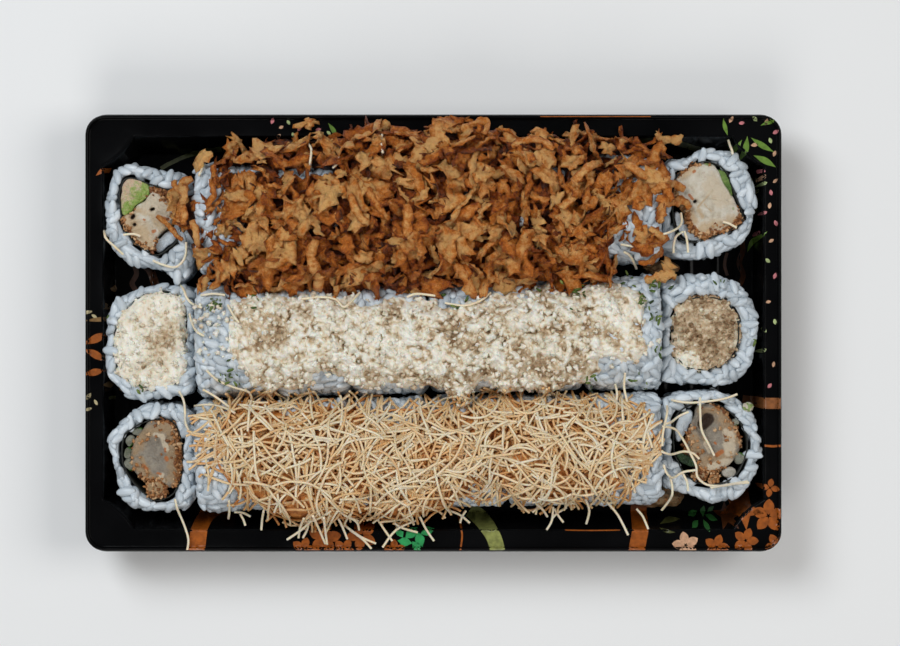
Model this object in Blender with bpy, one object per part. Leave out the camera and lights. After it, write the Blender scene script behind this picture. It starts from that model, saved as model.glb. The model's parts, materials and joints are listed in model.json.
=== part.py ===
"""A takeaway sushi tray: a black printed tray packed with three rows of inside-out rolls.

Each row is one roll cut into eight. Six slices stand side by side along the tray, and the two
end slices lie down with a cut face up. Fried onion, tempura crumbs and crisp noodle threads
are heaped over the standing slices. Lengths are in metres. +X runs along the rows, +Y towards
the fried onion row and +Z up. The origin is under the middle of the tray.
"""

import math

import bmesh
import bpy
from mathutils import Vector, noise

MM = 0.001
GAP = 0.3 * MM  # air between two pieces that touch

# The tray: a thin formed sheet with a flat printed rim, a bead and a short outer skirt.
TRAY_LENGTH = 215.0 * MM
TRAY_WIDTH = 135.0 * MM
TRAY_HEIGHT = 22.0 * MM
SHEET = 0.7 * MM
OUTER_RADIUS = 6.5 * MM
WELL_LENGTH = 203.4 * MM  # between the inner edges of the rim
WELL_WIDTH = 121.0 * MM
RIM_HEIGHT = 20.5 * MM
END_WALL_RUN = 1.0 * MM  # how far each wall leans from floor to rim
LONG_WALL_RUN = 4.0 * MM
WELL_CORNER = (9.5 * MM, 9.2 * MM)  # where each slanted corner starts along the two sides
FLOOR_CORNER = (9.0 * MM, 8.5 * MM)
CORNER_BULGE = -0.35  # below 0 the slanted corner bows into the well, and 1 is a round corner
CORNER_STEPS = 5
BEAD_WIDTH = 1.3 * MM
SKIRT_INSET = 0.5 * MM
SKIRT_BOTTOM = 15.6 * MM
LIP_HEIGHT = 0.6 * MM
RIB_PITCH = 8.0 * MM
RIB_COUNT = 23
RIB_SIZE = (1.4 * MM, 98.0 * MM, 0.6 * MM)

# The rolls. A roll is as long as a half sheet of nori, 190 mm, and is cut into eight.
SLICE_LENGTH = 23.75 * MM
SLICES_IN_ROW = 6
SLICE_GAP = 0.6 * MM
ROLL_HEIGHT = 32.0 * MM
FOOD_BASE = SHEET + RIB_SIZE[2] + GAP
ROLL_TOP = FOOD_BASE + ROLL_HEIGHT
ROLL_SQUARENESS = 2.3  # exponent of the section: 2 is an ellipse, more is boxier
ROW_MIDDLE_X = -1.5 * MM

# Each row: the place of its middle, its slope along the tray and its half width.
ROWS = {
    "onion": {"middle_y": 36.7 * MM, "slope": 0.0293, "half_width": 17.6 * MM},
    "crumb": {"middle_y": -1.0 * MM, "slope": 0.0206, "half_width": 17.6 * MM},
    "noodle": {"middle_y": -36.6 * MM, "slope": 0.0170, "half_width": 17.2 * MM},
}

# The end slices lie down. Corners in mm of the rice's edge and of the nori wrap inside it.
END_SLICES = {
    "onion_left": {
        "rice": [
            (-100.2, 38), (-99.6, 44), (-97.6, 49.5), (-93, 51.6), (-88, 51), (-83, 49.5), (-77, 48.5), (-73.8, 44),
            (-73.5, 36), (-73.7, 26), (-74.6, 18), (-78.5, 16), (-83, 19.3), (-89, 20.3), (-94, 22), (-98, 25.5),
            (-100, 31),
        ],
        "nori": [
            (-96.3, 40.5), (-96, 44), (-94.6, 47), (-92.2, 47.6), (-89.5, 46.8), (-86.5, 45.6), (-82.5, 44.4),
            (-79.3, 42.3), (-77.3, 39), (-76.6, 35), (-77.2, 30.8), (-79, 27.5), (-81.8, 25), (-84.2, 23.7),
            (-86.6, 24.3), (-89.2, 25.8), (-91.8, 28), (-94.6, 32), (-95.7, 36),
        ],
    },
    "onion_right": {
        "rice": [
            (70.5, 27), (73.5, 23.4), (80, 22.9), (86, 24), (90.5, 25.8), (94.5, 27.8), (97, 31.5), (98.5, 36),
            (98.8, 42), (97.6, 46.5), (95.9, 50.5), (93, 54.2), (89, 56), (84.5, 56.4), (80, 55.2), (76, 53.2),
            (71.8, 52.6), (70.5, 47), (70.4, 37),
        ],
        "nori": [
            (73.3, 45.5), (75, 48.6), (77.8, 51.2), (81, 52.3), (84.5, 52.5), (88, 51), (90.3, 48.8), (91.4, 45.5),
            (93, 41), (94.6, 37.4), (94.9, 34.7), (92.6, 32.2), (89, 30.6), (84.5, 29), (80.5, 27.8), (76.5, 28.4),
            (74, 31.5), (73.2, 36), (73, 41),
        ],
    },
    "crumb_left": {
        "rice": [
            (-100.1, -1), (-99.9, 4), (-98.2, 8.5), (-95, 11.5), (-90.5, 13.3), (-85, 14.5), (-79, 14.7),
            (-74.5, 13.5), (-73.5, 8), (-73.4, 0), (-73.5, -10), (-74.4, -17.8), (-80, -19.4), (-86, -20.2),
            (-92, -20), (-96.5, -16.6), (-99.6, -12.5), (-100.2, -7),
        ],
        "nori": [
            (-97, -5), (-96.6, 1), (-94.4, 5.6), (-91, 9.4), (-86.5, 11.5), (-81, 12), (-77.4, 9.5), (-76.4, 4),
            (-76.3, -3), (-76.5, -9), (-77.8, -14), (-81.5, -16.2), (-87, -16.7), (-92, -15.6), (-95.3, -12.6),
            (-96.8, -9),
        ],
    },
    "crumb_right": {
        "rice": [
            (70.5, 14), (75, 16.6), (80, 17.9), (85, 17.6), (90, 16.4), (94.5, 14.2), (97.6, 10.2), (99.3, 5),
            (99.1, 0), (98.4, -5), (97, -10), (93.5, -13.6), (88.5, -15.8), (82, -15.6), (76, -15.4), (71, -13.8),
            (70.4, -5), (70.4, 5),
        ],
        "nori": [
            (73.2, 0), (73.8, 6), (76.8, 9.8), (82, 11.2), (88, 10.4), (92, 7.2), (93.6, 2), (93.3, -3.4),
            (90.8, -7.8), (86, -10.6), (80, -11.3), (75.8, -9.2), (73.6, -5),
        ],
    },
    "noodle_left": {
        "rice": [
            (-99.3, -32), (-97, -28.5), (-93.5, -25.3), (-89.8, -22.8), (-84, -21.6), (-78, -22.4), (-74.2, -25),
            (-73.5, -32), (-73.4, -40), (-73.5, -48), (-75.2, -52.8), (-80, -54), (-86, -54.3), (-90.5, -54.2),
            (-94.3, -52), (-96.3, -47.5), (-97.4, -42.5), (-98.8, -37.5),
        ],
        "nori": [
            (-95.4, -35), (-94.6, -31.2), (-91, -28.2), (-86.5, -26.4), (-82, -26.2), (-79, -27.6), (-77.4, -31),
            (-76.6, -36), (-76.6, -41), (-77.4, -45.5), (-79.2, -49), (-82, -50.8), (-85.5, -51.2), (-88.8, -48.9),
            (-91.8, -46), (-94.3, -42.2), (-95.3, -38.5),
        ],
    },
    "noodle_right": {
        "rice": [
            (70.5, -22), (74, -18.8), (80, -18), (84, -17.7), (89, -18.6), (93.6, -20.8), (97, -24.2), (99.2, -27.5),
            (99.9, -32), (99.8, -37), (98.8, -42), (96.9, -46.5), (93.5, -50.2), (87.5, -51.6), (82, -50.6),
            (77.8, -48.6), (73, -48), (70.5, -44), (70.4, -33),
        ],
        "nori": [
            (73.3, -31), (73.4, -27.5), (75, -24.2), (78, -22.2), (82, -21.2), (86, -21.3), (89.5, -22.9),
            (93, -25.9), (95.3, -29.5), (96.3, -33), (95.9, -37), (94.6, -40.5), (93, -43.3), (90, -45.6),
            (86, -46.5), (82, -46.4), (78.5, -44.6), (75.4, -41), (73.6, -36.5),
        ],
    },
}
RICE_OUTLINE_POINTS = 18
NORI_OUTLINE_POINTS = 16
NORI_THICKNESS = 0.5 * MM
CUT_FACE_Z = FOOD_BASE + SLICE_LENGTH
BURIED_CORE_DROP = 3.2 * MM  # how far the filling lies below the cut face where crumbs cover it
MOUND_RISE = 2.6 * MM

# Fillings that run through an end slice: corners of each outline in mm.
FILLINGS = {
    "cutlet_onion_left": [
        (-86, 44.4), (-82.8, 43.3), (-80.1, 41.2), (-78.3, 38.5), (-78.1, 36.4), (-79.8, 35), (-81.2, 32.8),
        (-83.6, 30.6), (-85.6, 28.4), (-86.1, 25.7), (-88.6, 26.9), (-90.9, 28.9), (-93.2, 32), (-94.4, 35.2),
        (-92, 36.2), (-90.6, 38.2), (-88, 40.2), (-86.4, 42.6),
    ],
    "lettuce_onion_left": [
        (-95.2, 40.4), (-94.9, 43.8), (-93.7, 46), (-91.8, 46.4), (-88.8, 45.4), (-87.5, 44.6), (-87.4, 42.9),
        (-89.2, 41.2), (-91.7, 39), (-92.9, 37.2), (-94.6, 36.7),
    ],
    "inner_rice_onion_left": [
        (-78.3, 34.4), (-79.2, 32.4), (-82.2, 30.2), (-84.4, 28.2), (-85, 26), (-84.2, 25), (-82.3, 26.4),
        (-80, 28.4), (-78.5, 30.8),
    ],
    "cutlet_onion_right": [
        (74.4, 45.2), (76, 47.8), (78.5, 50.1), (81.2, 51.2), (84.2, 51.3), (86.4, 49.8), (88.3, 46.2),
        (90.6, 42.2), (92.4, 38.8), (93.6, 36.2), (93.5, 34.9), (91.5, 33.1), (88.6, 31.8), (85, 30.4),
        (82.6, 29.5), (79.8, 31.6), (78.2, 34.8), (77.2, 38), (75, 41),
    ],
    "greens_onion_right": [
        (87.5, 49.7), (89.2, 48.3), (90.2, 45.6), (91.5, 42.2), (91, 42.7), (89.4, 45.8), (88, 48),
    ],
    "inner_rice_onion_right": [
        (74.6, 36.8), (76, 36), (76.9, 33.4), (78.8, 30.8), (81, 29), (79.8, 28.8), (77, 29.6), (75.1, 32.2),
        (74.5, 34.6),
    ],
    "prawn_noodle_left": [
        (-87, -28.2), (-84, -27.4), (-80.6, -28.1), (-78.8, -31.2), (-77.9, -36), (-77.9, -41), (-78.8, -45.2),
        (-80.8, -46.6), (-82.8, -44.8), (-86.4, -44.6), (-89.4, -43.6), (-91.3, -41), (-91.7, -37),
        (-90.9, -33.4), (-89.2, -31.2),
    ],
    "prawn_noodle_right": [
        (81.4, -22.5), (84.5, -22.4), (88, -23.8), (90.2, -26.4), (91.9, -29.5), (93.1, -33), (92.4, -36.2),
        (90.4, -39.2), (88, -40.8), (85, -42), (82, -41.2), (79.8, -38.4), (77.9, -36), (77.5, -32.8),
        (78.9, -29.8), (80.3, -26.2),
    ],
    "inner_rice_noodle_right": [
        (75.8, -25.6), (78, -24), (79.2, -24.6), (78.9, -27), (77.4, -29.4), (76, -31.6), (75, -32.8),
        (74.6, -29),
    ],
    "leaf_noodle_right": [
        (75.2, -37), (78, -38), (80, -40), (79, -40.3), (76.6, -39.4), (75.7, -38.4),
    ],
}
FILLING_OUTLINE_POINTS = 16

# Round pieces beside the fillings: middle and half sizes in mm.
ROUND_BITS = {
    "cucumber_noodle_left_1": ((-90.3, -30.3), (1.2, 0.8)),
    "cucumber_noodle_left_2": ((-92.8, -33), (1.1, 1.5)),
    "cucumber_noodle_left_3": ((-93.3, -36.9), (0.95, 1.35)),
    "cucumber_noodle_left_4": ((-92.9, -40.3), (1.0, 1.4)),
    "crust_bit_noodle_left": ((-84.4, -47.8), (2.6, 2.2)),
    "cucumber_noodle_right_1": ((92.3, -27.6), (0.8, 0.9)),
    "cucumber_noodle_right_2": ((93.4, -38), (1.1, 1.4)),
    "crust_bit_noodle_right_1": ((81.4, -43.4), (1.8, 1.3)),
    "crust_bit_noodle_right_2": ((85.8, -44.1), (1.6, 1.2)),
    "crust_bit_noodle_right_3": ((90, -42.6), (1.7, 1.3)),
}

# Loose pieces of breaded filling that lie on the floor: middle and half sizes in mm.
LOOSE_CHUNKS = {
    "loose_chunk_front": ((74.6, -52.6, 6.7), (4.2, 3.1, 4.8)),
    "loose_chunk_middle": ((74.4, 20.1, 5.4), (3.4, 2.2, 3.6)),
}

# The heaps over the standing slices: the edges across the tray, and how high they rise.
HEAP_LENGTH = 141.0 * MM
HEAP_LEAST_Z = TRAY_HEIGHT + GAP
HEAP_STEPS = (16, 7)
HEAPS = {
    "fried_onion": {"row": "onion", "back": 62.0, "front": 12.5, "top": 42.0, "bumps": 1.6, "seed": 3},
    "tempura_crumbs": {"row": "crumb", "back": 11.5, "front": -20.5, "top": 39.0, "bumps": 1.0, "seed": 11},
    "noodle_threads": {"row": "noodle", "back": -21.5, "front": -61.0, "top": 42.5, "bumps": 1.4, "seed": 23},
}
HEAP_EDGE_WAVE = 1.2 * MM
HEAP_EDGE_THICKNESS = 1.4 * MM

LOOKS = {
    "tray": ((0.004, 0.004, 0.004), 0.28),
    "rice": ((0.62, 0.67, 0.72), 0.4),
    "nori": ((0.01, 0.014, 0.012), 0.5),
    "cutlet": ((0.56, 0.45, 0.3), 0.6),
    "prawn": ((0.34, 0.29, 0.22), 0.5),
    "greens": ((0.22, 0.36, 0.06), 0.5),
    "fried_onion": ((0.36, 0.12, 0.025), 0.6),
    "tempura_crumbs": ((0.7, 0.6, 0.43), 0.7),
    "noodle_threads": ((0.6, 0.42, 0.22), 0.5),
}


def clear_scene():
    for thing in list(bpy.data.objects):
        bpy.data.objects.remove(thing)


def material(name):
    if name in bpy.data.materials:
        return bpy.data.materials[name]
    colour, roughness = LOOKS[name]
    made = bpy.data.materials.new(name)
    made.use_nodes = True
    shader = made.node_tree.nodes["Principled BSDF"]
    shader.inputs["Base Color"].default_value = (*colour, 1.0)
    shader.inputs["Roughness"].default_value = roughness
    shader.inputs["Metallic"].default_value = 0.0
    return made


def add_object(name, look, mesh_builder, parent=None):
    """Makes the named object from a function that fills a bmesh, with its faces pointing out."""
    shape = bmesh.new()
    mesh_builder(shape)
    bmesh.ops.recalc_face_normals(shape, faces=shape.faces)
    mesh = bpy.data.meshes.new(name)
    shape.to_mesh(mesh)
    shape.free()
    mesh.shade_smooth()
    mesh.set_sharp_from_angle(angle=math.radians(40))
    mesh.materials.append(material(look))
    made = bpy.data.objects.new(name, mesh)
    bpy.context.scene.collection.objects.link(made)
    made.parent = parent
    return made


def bridge(shape, loops, closed=False):
    """Joins each loop of vertices to the next, and caps the first and last unless closed."""
    pairs = list(zip(loops, loops[1:]))
    if closed:
        pairs.append((loops[-1], loops[0]))
    for first, second in pairs:
        count = len(first)
        for i in range(count):
            j = (i + 1) % count
            shape.faces.new((first[i], first[j], second[j], second[i]))
    if not closed:
        shape.faces.new(loops[0])
        shape.faces.new(loops[-1])


def loop_at(shape, outline, z):
    return [shape.verts.new((x, y, z)) for x, y in outline]


def oval(middle, half, count, squareness=2.0, wave=0.0, seed=0):
    """A closed outline whose radius dips inwards by up to wave, unevenly round the edge."""
    points = []
    for i in range(count):
        turn = 2 * math.pi * i / count
        c, s = math.cos(turn), math.sin(turn)
        radius = (abs(c) ** squareness + abs(s) ** squareness) ** (-1 / squareness)
        dip = noise.noise(Vector((1.7 * c, 1.7 * s, 7.3 * seed))) * 0.5 + 0.5
        radius *= 1 - wave * min(1.0, max(0.0, dip))
        points.append((middle[0] + half[0] * radius * c, middle[1] + half[1] * radius * s))
    return points


def offset(outline, distance):
    """The outline moved outwards by the distance, or inwards where that is negative."""
    area = sum(x0 * y1 - x1 * y0 for (x0, y0), (x1, y1) in zip(outline, outline[1:] + outline[:1]))
    side = distance if area > 0 else -distance
    moved = []
    for i, point in enumerate(outline):
        along = Vector(outline[(i + 1) % len(outline)]) - Vector(outline[i - 1])
        along.normalize()
        moved.append((point[0] + along.y * side, point[1] - along.x * side))
    return moved


def smooth_outline(corners, count):
    """A closed Catmull-Rom curve through corners given in mm, at count evenly shared places."""
    total = len(corners)
    points = []
    for i in range(count):
        where = total * i / count
        step, t = int(where), where - int(where)
        p0, p1, p2, p3 = (Vector(corners[(step + k) % total]) for k in (-1, 0, 1, 2))
        point = 0.5 * (
            2 * p1 + (p2 - p0) * t + (2 * p0 - 5 * p1 + 4 * p2 - p3) * t * t + (3 * p1 - p0 - 3 * p2 + p3) * t**3
        )
        points.append(tuple(point * MM))
    return points


def rounded_prism(name, look, outline, low, high, rounding, parent=None):
    """A solid on the outline from low to high, with its two rims eased."""

    def build(shape):
        eased = offset(outline, -rounding)
        bridge(
            shape,
            [
                loop_at(shape, eased, low),
                loop_at(shape, outline, low + rounding),
                loop_at(shape, outline, high - rounding),
                loop_at(shape, eased, high),
            ],
        )

    return add_object(name, look, build, parent)


# ---- tray ----------------------------------------------------------------------------------


def corner_outline(half, corner, bulge):
    """A rectangle with four alike corners, each from a slanted cut to a round one by bulge."""
    points = []
    for quarter in range(4):
        sx, sy = ((1, 1), (-1, 1), (-1, -1), (1, -1))[quarter]
        steps = range(CORNER_STEPS + 1)
        for i in steps if quarter % 2 == 0 else reversed(steps):
            share = i / CORNER_STEPS
            turn = share * math.pi / 2
            flat_x = half[0] - corner[0] * share
            flat_y = half[1] - corner[1] * (1 - share)
            round_x = half[0] - corner[0] * (1 - math.cos(turn))
            round_y = half[1] - corner[1] * (1 - math.sin(turn))
            x = flat_x + (round_x - flat_x) * bulge
            y = flat_y + (round_y - flat_y) * bulge
            points.append((sx * x, sy * y))
    return points


def tray_body(shape):
    """One closed skin: up the inside from the floor, over the rim and bead, and back below."""
    outer = (TRAY_LENGTH / 2, TRAY_WIDTH / 2)
    well = (WELL_LENGTH / 2, WELL_WIDTH / 2)
    floor = (well[0] - END_WALL_RUN, well[1] - LONG_WALL_RUN)
    skirt = (outer[0] - SKIRT_INSET, outer[1] - SKIRT_INSET)
    loops = []

    def add(half, corner, bulge, z):
        loops.append(loop_at(shape, corner_outline(half, corner, bulge), z))

    def well_ring(half, grow, z, corner=FLOOR_CORNER):
        add((half[0] + grow, half[1] + grow), corner, CORNER_BULGE, z)

    def outer_ring(half, grow, z):
        radius = OUTER_RADIUS - (outer[0] - half[0]) + grow
        add((half[0] + grow, half[1] + grow), (radius, radius), 1.0, z)

    well_ring(floor, -1.0 * MM, SHEET)
    well_ring(floor, -0.3 * MM, SHEET + 0.25 * MM)
    well_ring(floor, 0.0, SHEET + 0.9 * MM)
    well_ring(well, -0.1 * MM, RIM_HEIGHT - 0.5 * MM, WELL_CORNER)
    well_ring(well, 0.4 * MM, RIM_HEIGHT, WELL_CORNER)
    outer_ring(skirt, -BEAD_WIDTH, RIM_HEIGHT)
    outer_ring(skirt, -0.8 * BEAD_WIDTH, RIM_HEIGHT + 1.0 * MM)
    outer_ring(skirt, -0.45 * BEAD_WIDTH, TRAY_HEIGHT)
    outer_ring(skirt, -0.1 * BEAD_WIDTH, TRAY_HEIGHT - 0.4 * MM)
    outer_ring(skirt, 0.0, TRAY_HEIGHT - 1.2 * MM)
    outer_ring(skirt, 0.0, SKIRT_BOTTOM + LIP_HEIGHT + 0.4 * MM)
    outer_ring(outer, 0.0, SKIRT_BOTTOM + LIP_HEIGHT)
    outer_ring(outer, 0.0, SKIRT_BOTTOM)
    outer_ring(skirt, -SHEET, SKIRT_BOTTOM)
    outer_ring(skirt, -SHEET, RIM_HEIGHT - SHEET)
    well_ring(well, 1.1 * MM, RIM_HEIGHT - SHEET, WELL_CORNER)
    well_ring(well, 0.6 * MM, RIM_HEIGHT - 1.4 * MM, WELL_CORNER)
    well_ring(floor, 0.7 * MM, 0.8 * MM)
    well_ring(floor, 0.0, 0.0)
    bridge(shape, loops)


def floor_ribs(shape):
    """Low bars across the floor that keep the rolls off it, sunk a little into the sheet."""
    width, length, height = RIB_SIZE
    sunk = SHEET / 2
    for i in range(RIB_COUNT):
        x = (i - (RIB_COUNT - 1) / 2) * RIB_PITCH
        bar = bmesh.ops.create_cube(shape, size=1.0)["verts"]
        bmesh.ops.scale(shape, vec=(width, length, height + sunk), verts=bar)
        bmesh.ops.translate(shape, vec=(x, 0, SHEET + (height - sunk) / 2), verts=bar)


def build_tray():
    tray = add_object("tray", "tray", tray_body)
    ribs = add_object("rib_bars", "tray", floor_ribs)
    ribs.hide_render = True
    ribs.display_type = "WIRE"
    join = tray.modifiers.new("ribs", "BOOLEAN")
    join.operation = "UNION"
    join.object = ribs


# ---- rolls ---------------------------------------------------------------------------------


def build_row(name, row, seed):
    """Six standing slices on an empty at the row's middle, which carries the row's slope."""
    pivot = bpy.data.objects.new("row_" + name, None)
    bpy.context.scene.collection.objects.link(pivot)
    pivot.location = (ROW_MIDDLE_X, row["middle_y"], FOOD_BASE + ROLL_HEIGHT / 2)
    pivot.rotation_euler.z = math.atan(row["slope"])
    for i in range(SLICES_IN_ROW):
        outline = oval((0, 0), (row["half_width"], ROLL_HEIGHT / 2), 18, ROLL_SQUARENESS, 0.035, seed + i)
        length = SLICE_LENGTH - SLICE_GAP
        start = (i - SLICES_IN_ROW / 2) * SLICE_LENGTH + SLICE_GAP / 2
        made = rounded_prism(f"slice_{name}_{i + 1}", "rice", outline, start, start + length, 1.2 * MM, pivot)
        made.rotation_euler = (math.pi / 2, 0, math.pi / 2)  # its length along the row


def from_east(outline):
    """The same outline run anticlockwise from its point nearest due east of the middle."""
    count = len(outline)
    middle = (sum(x for x, y in outline) / count, sum(y for x, y in outline) / count)
    turns = [math.atan2(y - middle[1], x - middle[0]) for x, y in outline]
    first = min(range(count), key=lambda i: abs(turns[i]))
    rises = math.sin(turns[(first + 1) % count]) > math.sin(turns[first - 1])
    return [outline[(first + (i if rises else -i)) % count] for i in range(count)]


def ring_solid(name, look, outer, inner, low, high, rounding):
    """A wall between two outlines, with its outer rims eased by the rounding if there is one."""
    outer, inner = from_east(outer), from_east(inner)

    def build(shape):
        loops = [loop_at(shape, outer, low + rounding), loop_at(shape, outer, high - rounding)]
        if rounding:
            eased = offset(outer, -rounding)
            loops = [loop_at(shape, eased, low), *loops, loop_at(shape, eased, high)]
        loops += [loop_at(shape, inner, high), loop_at(shape, inner, low)]
        bridge(shape, loops, closed=True)

    add_object(name, look, build)


def build_end_slice(name, end):
    """A slice on its side: the rice, and the nori wrap between it and the fillings."""
    wrap = smooth_outline(end["nori"], NORI_OUTLINE_POINTS)
    rice = smooth_outline(end["rice"], RICE_OUTLINE_POINTS)
    hole = smooth_outline(end["nori"], RICE_OUTLINE_POINTS)
    ring_solid(f"rice_{name}", "rice", rice, offset(hole, 2 * GAP), FOOD_BASE, CUT_FACE_Z, 1.2 * MM)
    inside = offset(wrap, -NORI_THICKNESS)
    ring_solid(f"nori_{name}", "nori", wrap, inside, FOOD_BASE, CUT_FACE_Z - 0.2 * MM, 0)


def filling_look(name):
    looks = {"cutlet": "cutlet", "prawn": "prawn", "crust": "cutlet", "inner": "rice"}
    return looks.get(name.split("_")[0], "greens")


def build_fillings():
    for name, corners in FILLINGS.items():
        outline = smooth_outline(corners, FILLING_OUTLINE_POINTS)
        rounded_prism(name, filling_look(name), outline, FOOD_BASE, CUT_FACE_Z, 0.25 * MM)
    for name, (at, half) in ROUND_BITS.items():
        outline = oval((at[0] * MM, at[1] * MM), (half[0] * MM, half[1] * MM), 8)

        def build(shape, outline=outline):
            bridge(shape, [loop_at(shape, outline, FOOD_BASE), loop_at(shape, outline, CUT_FACE_Z)])

        add_object(name, filling_look(name), build)


def build_covered_fillings():
    """In the crumb row a breaded core fills the wrap, and a low mound of crumbs covers it."""
    for side in ("left", "right"):
        wrap = smooth_outline(END_SLICES["crumb_" + side]["nori"], NORI_OUTLINE_POINTS)
        outline = offset(wrap, -NORI_THICKNESS - GAP)
        core_top = CUT_FACE_Z - BURIED_CORE_DROP
        rounded_prism(f"core_crumb_{side}", "cutlet", outline, FOOD_BASE, core_top, 0.4 * MM)

        def build(shape, outline=outline, foot=core_top + GAP):
            bridge(
                shape,
                [
                    loop_at(shape, outline, foot),
                    loop_at(shape, outline, CUT_FACE_Z),
                    loop_at(shape, offset(outline, -2.6 * MM), CUT_FACE_Z + 0.6 * MOUND_RISE),
                    loop_at(shape, offset(outline, -6.0 * MM), CUT_FACE_Z + MOUND_RISE),
                ],
            )

        add_object(f"crumb_mound_{side}", "tempura_crumbs", build)


def build_chunks():
    for name, (middle, half) in LOOSE_CHUNKS.items():

        def build(shape, half=half, middle=middle):
            made = bmesh.ops.create_uvsphere(shape, u_segments=10, v_segments=6, radius=1.0)["verts"]
            for vertex in made:
                vertex.co *= 1 - 0.12 * abs(noise.noise(vertex.co * 1.6 + Vector(middle)))
            bmesh.ops.scale(shape, vec=Vector(half) * MM, verts=made)
            bmesh.ops.translate(shape, vec=Vector(middle) * MM, verts=made)

        add_object(name, "cutlet", build)


# ---- heaps ---------------------------------------------------------------------------------


def roll_top(x, y):
    """Height of the standing rolls over a place, with the clearance a heap keeps from them."""
    best = 0.0
    for row in ROWS.values():
        tilt = math.atan(row["slope"])
        across = (y - row["middle_y"]) * math.cos(tilt) - (x - ROW_MIDDLE_X) * math.sin(tilt)
        share = abs(across) / (row["half_width"] + GAP)
        if share < 1:
            rise = (1 - share**ROLL_SQUARENESS) ** (1 / ROLL_SQUARENESS)
            best = max(best, FOOD_BASE + ROLL_HEIGHT / 2 + (ROLL_HEIGHT / 2 + GAP) * rise)
    return best


def build_heap(name, heap):
    """A solid from just above the rolls to the heap's uneven top, on a grid along the row."""
    columns, strips = HEAP_STEPS
    slope = ROWS[heap["row"]]["slope"]

    def edge(x, y0, phase):
        wave = HEAP_EDGE_WAVE * math.sin(x / MM * 0.21 + phase) * math.cos(x / MM * 0.083 + phase)
        return y0 * MM + slope * x + wave

    def grid_point(i, j):
        x = ROW_MIDDLE_X + HEAP_LENGTH * (i / columns - 0.5)
        # Neighbouring heaps share the phase of the edge between them, so that they stay apart.
        back = edge(x, heap["back"], {"onion": 0.4, "crumb": 1.3, "noodle": 2.6}[heap["row"]])
        front = edge(x, heap["front"], {"onion": 1.3, "crumb": 2.6, "noodle": 4.1}[heap["row"]])
        y = back + (front - back) * j / strips
        reach = 0.6 * (back - front) / strips  # so that the flat faces between points clear the rolls
        bottom = max(HEAP_LEAST_Z, *(roll_top(x, y + side * reach) + 0.3 * MM for side in (-1, 0, 1)))
        across = 2 * j / strips - 1
        along = 2 * i / columns - 1
        arch = max(0.0, 1 - abs(across) ** 2.4) ** 0.55 * max(0.0, 1 - abs(along) ** 8) ** 0.5
        rough = noise.noise(Vector((x / MM * 0.11, y / MM * 0.13, heap["seed"])))
        top = HEAP_LEAST_Z + (heap["top"] * MM - HEAP_LEAST_Z) * arch + heap["bumps"] * MM * (rough - 0.5)
        return x, y, bottom, max(bottom + HEAP_EDGE_THICKNESS, top)

    def build(shape):
        upper, lower = {}, {}
        for i in range(columns + 1):
            for j in range(strips + 1):
                x, y, bottom, top = grid_point(i, j)
                upper[i, j] = shape.verts.new((x, y, top))
                lower[i, j] = shape.verts.new((x, y, bottom))
        for i in range(columns):
            for j in range(strips):
                for layer in (upper, lower):
                    shape.faces.new((layer[i, j], layer[i + 1, j], layer[i + 1, j + 1], layer[i, j + 1]))
        rim = [(i, 0) for i in range(columns)] + [(columns, j) for j in range(strips)]
        rim += [(i, strips) for i in range(columns, 0, -1)] + [(0, j) for j in range(strips, 0, -1)]
        for here, there in zip(rim, rim[1:] + rim[:1]):
            shape.faces.new((upper[here], upper[there], lower[there], lower[here]))
        bmesh.ops.triangulate(shape, faces=shape.faces)

    add_object(name, name, build)


def main():
    clear_scene()
    build_tray()
    for number, (name, row) in enumerate(ROWS.items()):
        build_row(name, row, 10 * number)
    for name, end in END_SLICES.items():
        build_end_slice(name, end)
    build_fillings()
    build_covered_fillings()
    build_chunks()
    for name, heap in HEAPS.items():
        build_heap(name, heap)


main()
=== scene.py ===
import json
import math

import bmesh
import bpy
import numpy as np
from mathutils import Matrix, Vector, noise
from mathutils.bvhtree import BVHTree

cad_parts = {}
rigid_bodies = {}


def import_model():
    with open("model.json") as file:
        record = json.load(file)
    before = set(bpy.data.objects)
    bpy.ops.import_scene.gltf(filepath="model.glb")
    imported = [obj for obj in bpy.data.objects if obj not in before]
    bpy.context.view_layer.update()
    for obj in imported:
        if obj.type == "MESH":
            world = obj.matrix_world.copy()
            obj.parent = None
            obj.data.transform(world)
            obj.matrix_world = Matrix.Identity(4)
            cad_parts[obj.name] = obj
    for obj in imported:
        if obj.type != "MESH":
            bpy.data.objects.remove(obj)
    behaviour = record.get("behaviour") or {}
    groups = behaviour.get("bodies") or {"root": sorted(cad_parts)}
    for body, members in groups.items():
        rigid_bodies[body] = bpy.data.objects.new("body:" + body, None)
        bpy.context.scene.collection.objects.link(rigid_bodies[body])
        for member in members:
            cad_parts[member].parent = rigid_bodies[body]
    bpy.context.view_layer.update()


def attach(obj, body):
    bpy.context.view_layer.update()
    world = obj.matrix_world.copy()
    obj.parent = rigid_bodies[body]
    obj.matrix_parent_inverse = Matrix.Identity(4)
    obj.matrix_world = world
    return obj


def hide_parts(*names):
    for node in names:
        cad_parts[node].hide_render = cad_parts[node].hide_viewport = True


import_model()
mm = 0.001
scene = bpy.context.scene
print("frame loaded")


# Shared helpers: node materials

def newMaterial(name, **values):
    material = bpy.data.materials.new(name)
    material.use_nodes = True
    tree = material.node_tree
    shader = tree.nodes["Principled BSDF"]
    for key, value in values.items():
        shader.inputs[key.replace("_", " ")].default_value = value
    return material, tree, shader


def addNode(tree, kind, inputs=None, **settings):
    made = tree.nodes.new(kind)
    for key, value in settings.items():
        setattr(made, key, value)
    for key, value in (inputs or {}).items():
        if isinstance(value, bpy.types.NodeSocket):
            tree.links.new(value, made.inputs[key])
        else:
            made.inputs[key].default_value = value
    return made


def objectPlace(tree):
    return addNode(tree, "ShaderNodeTexCoord").outputs["Object"]


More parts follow.
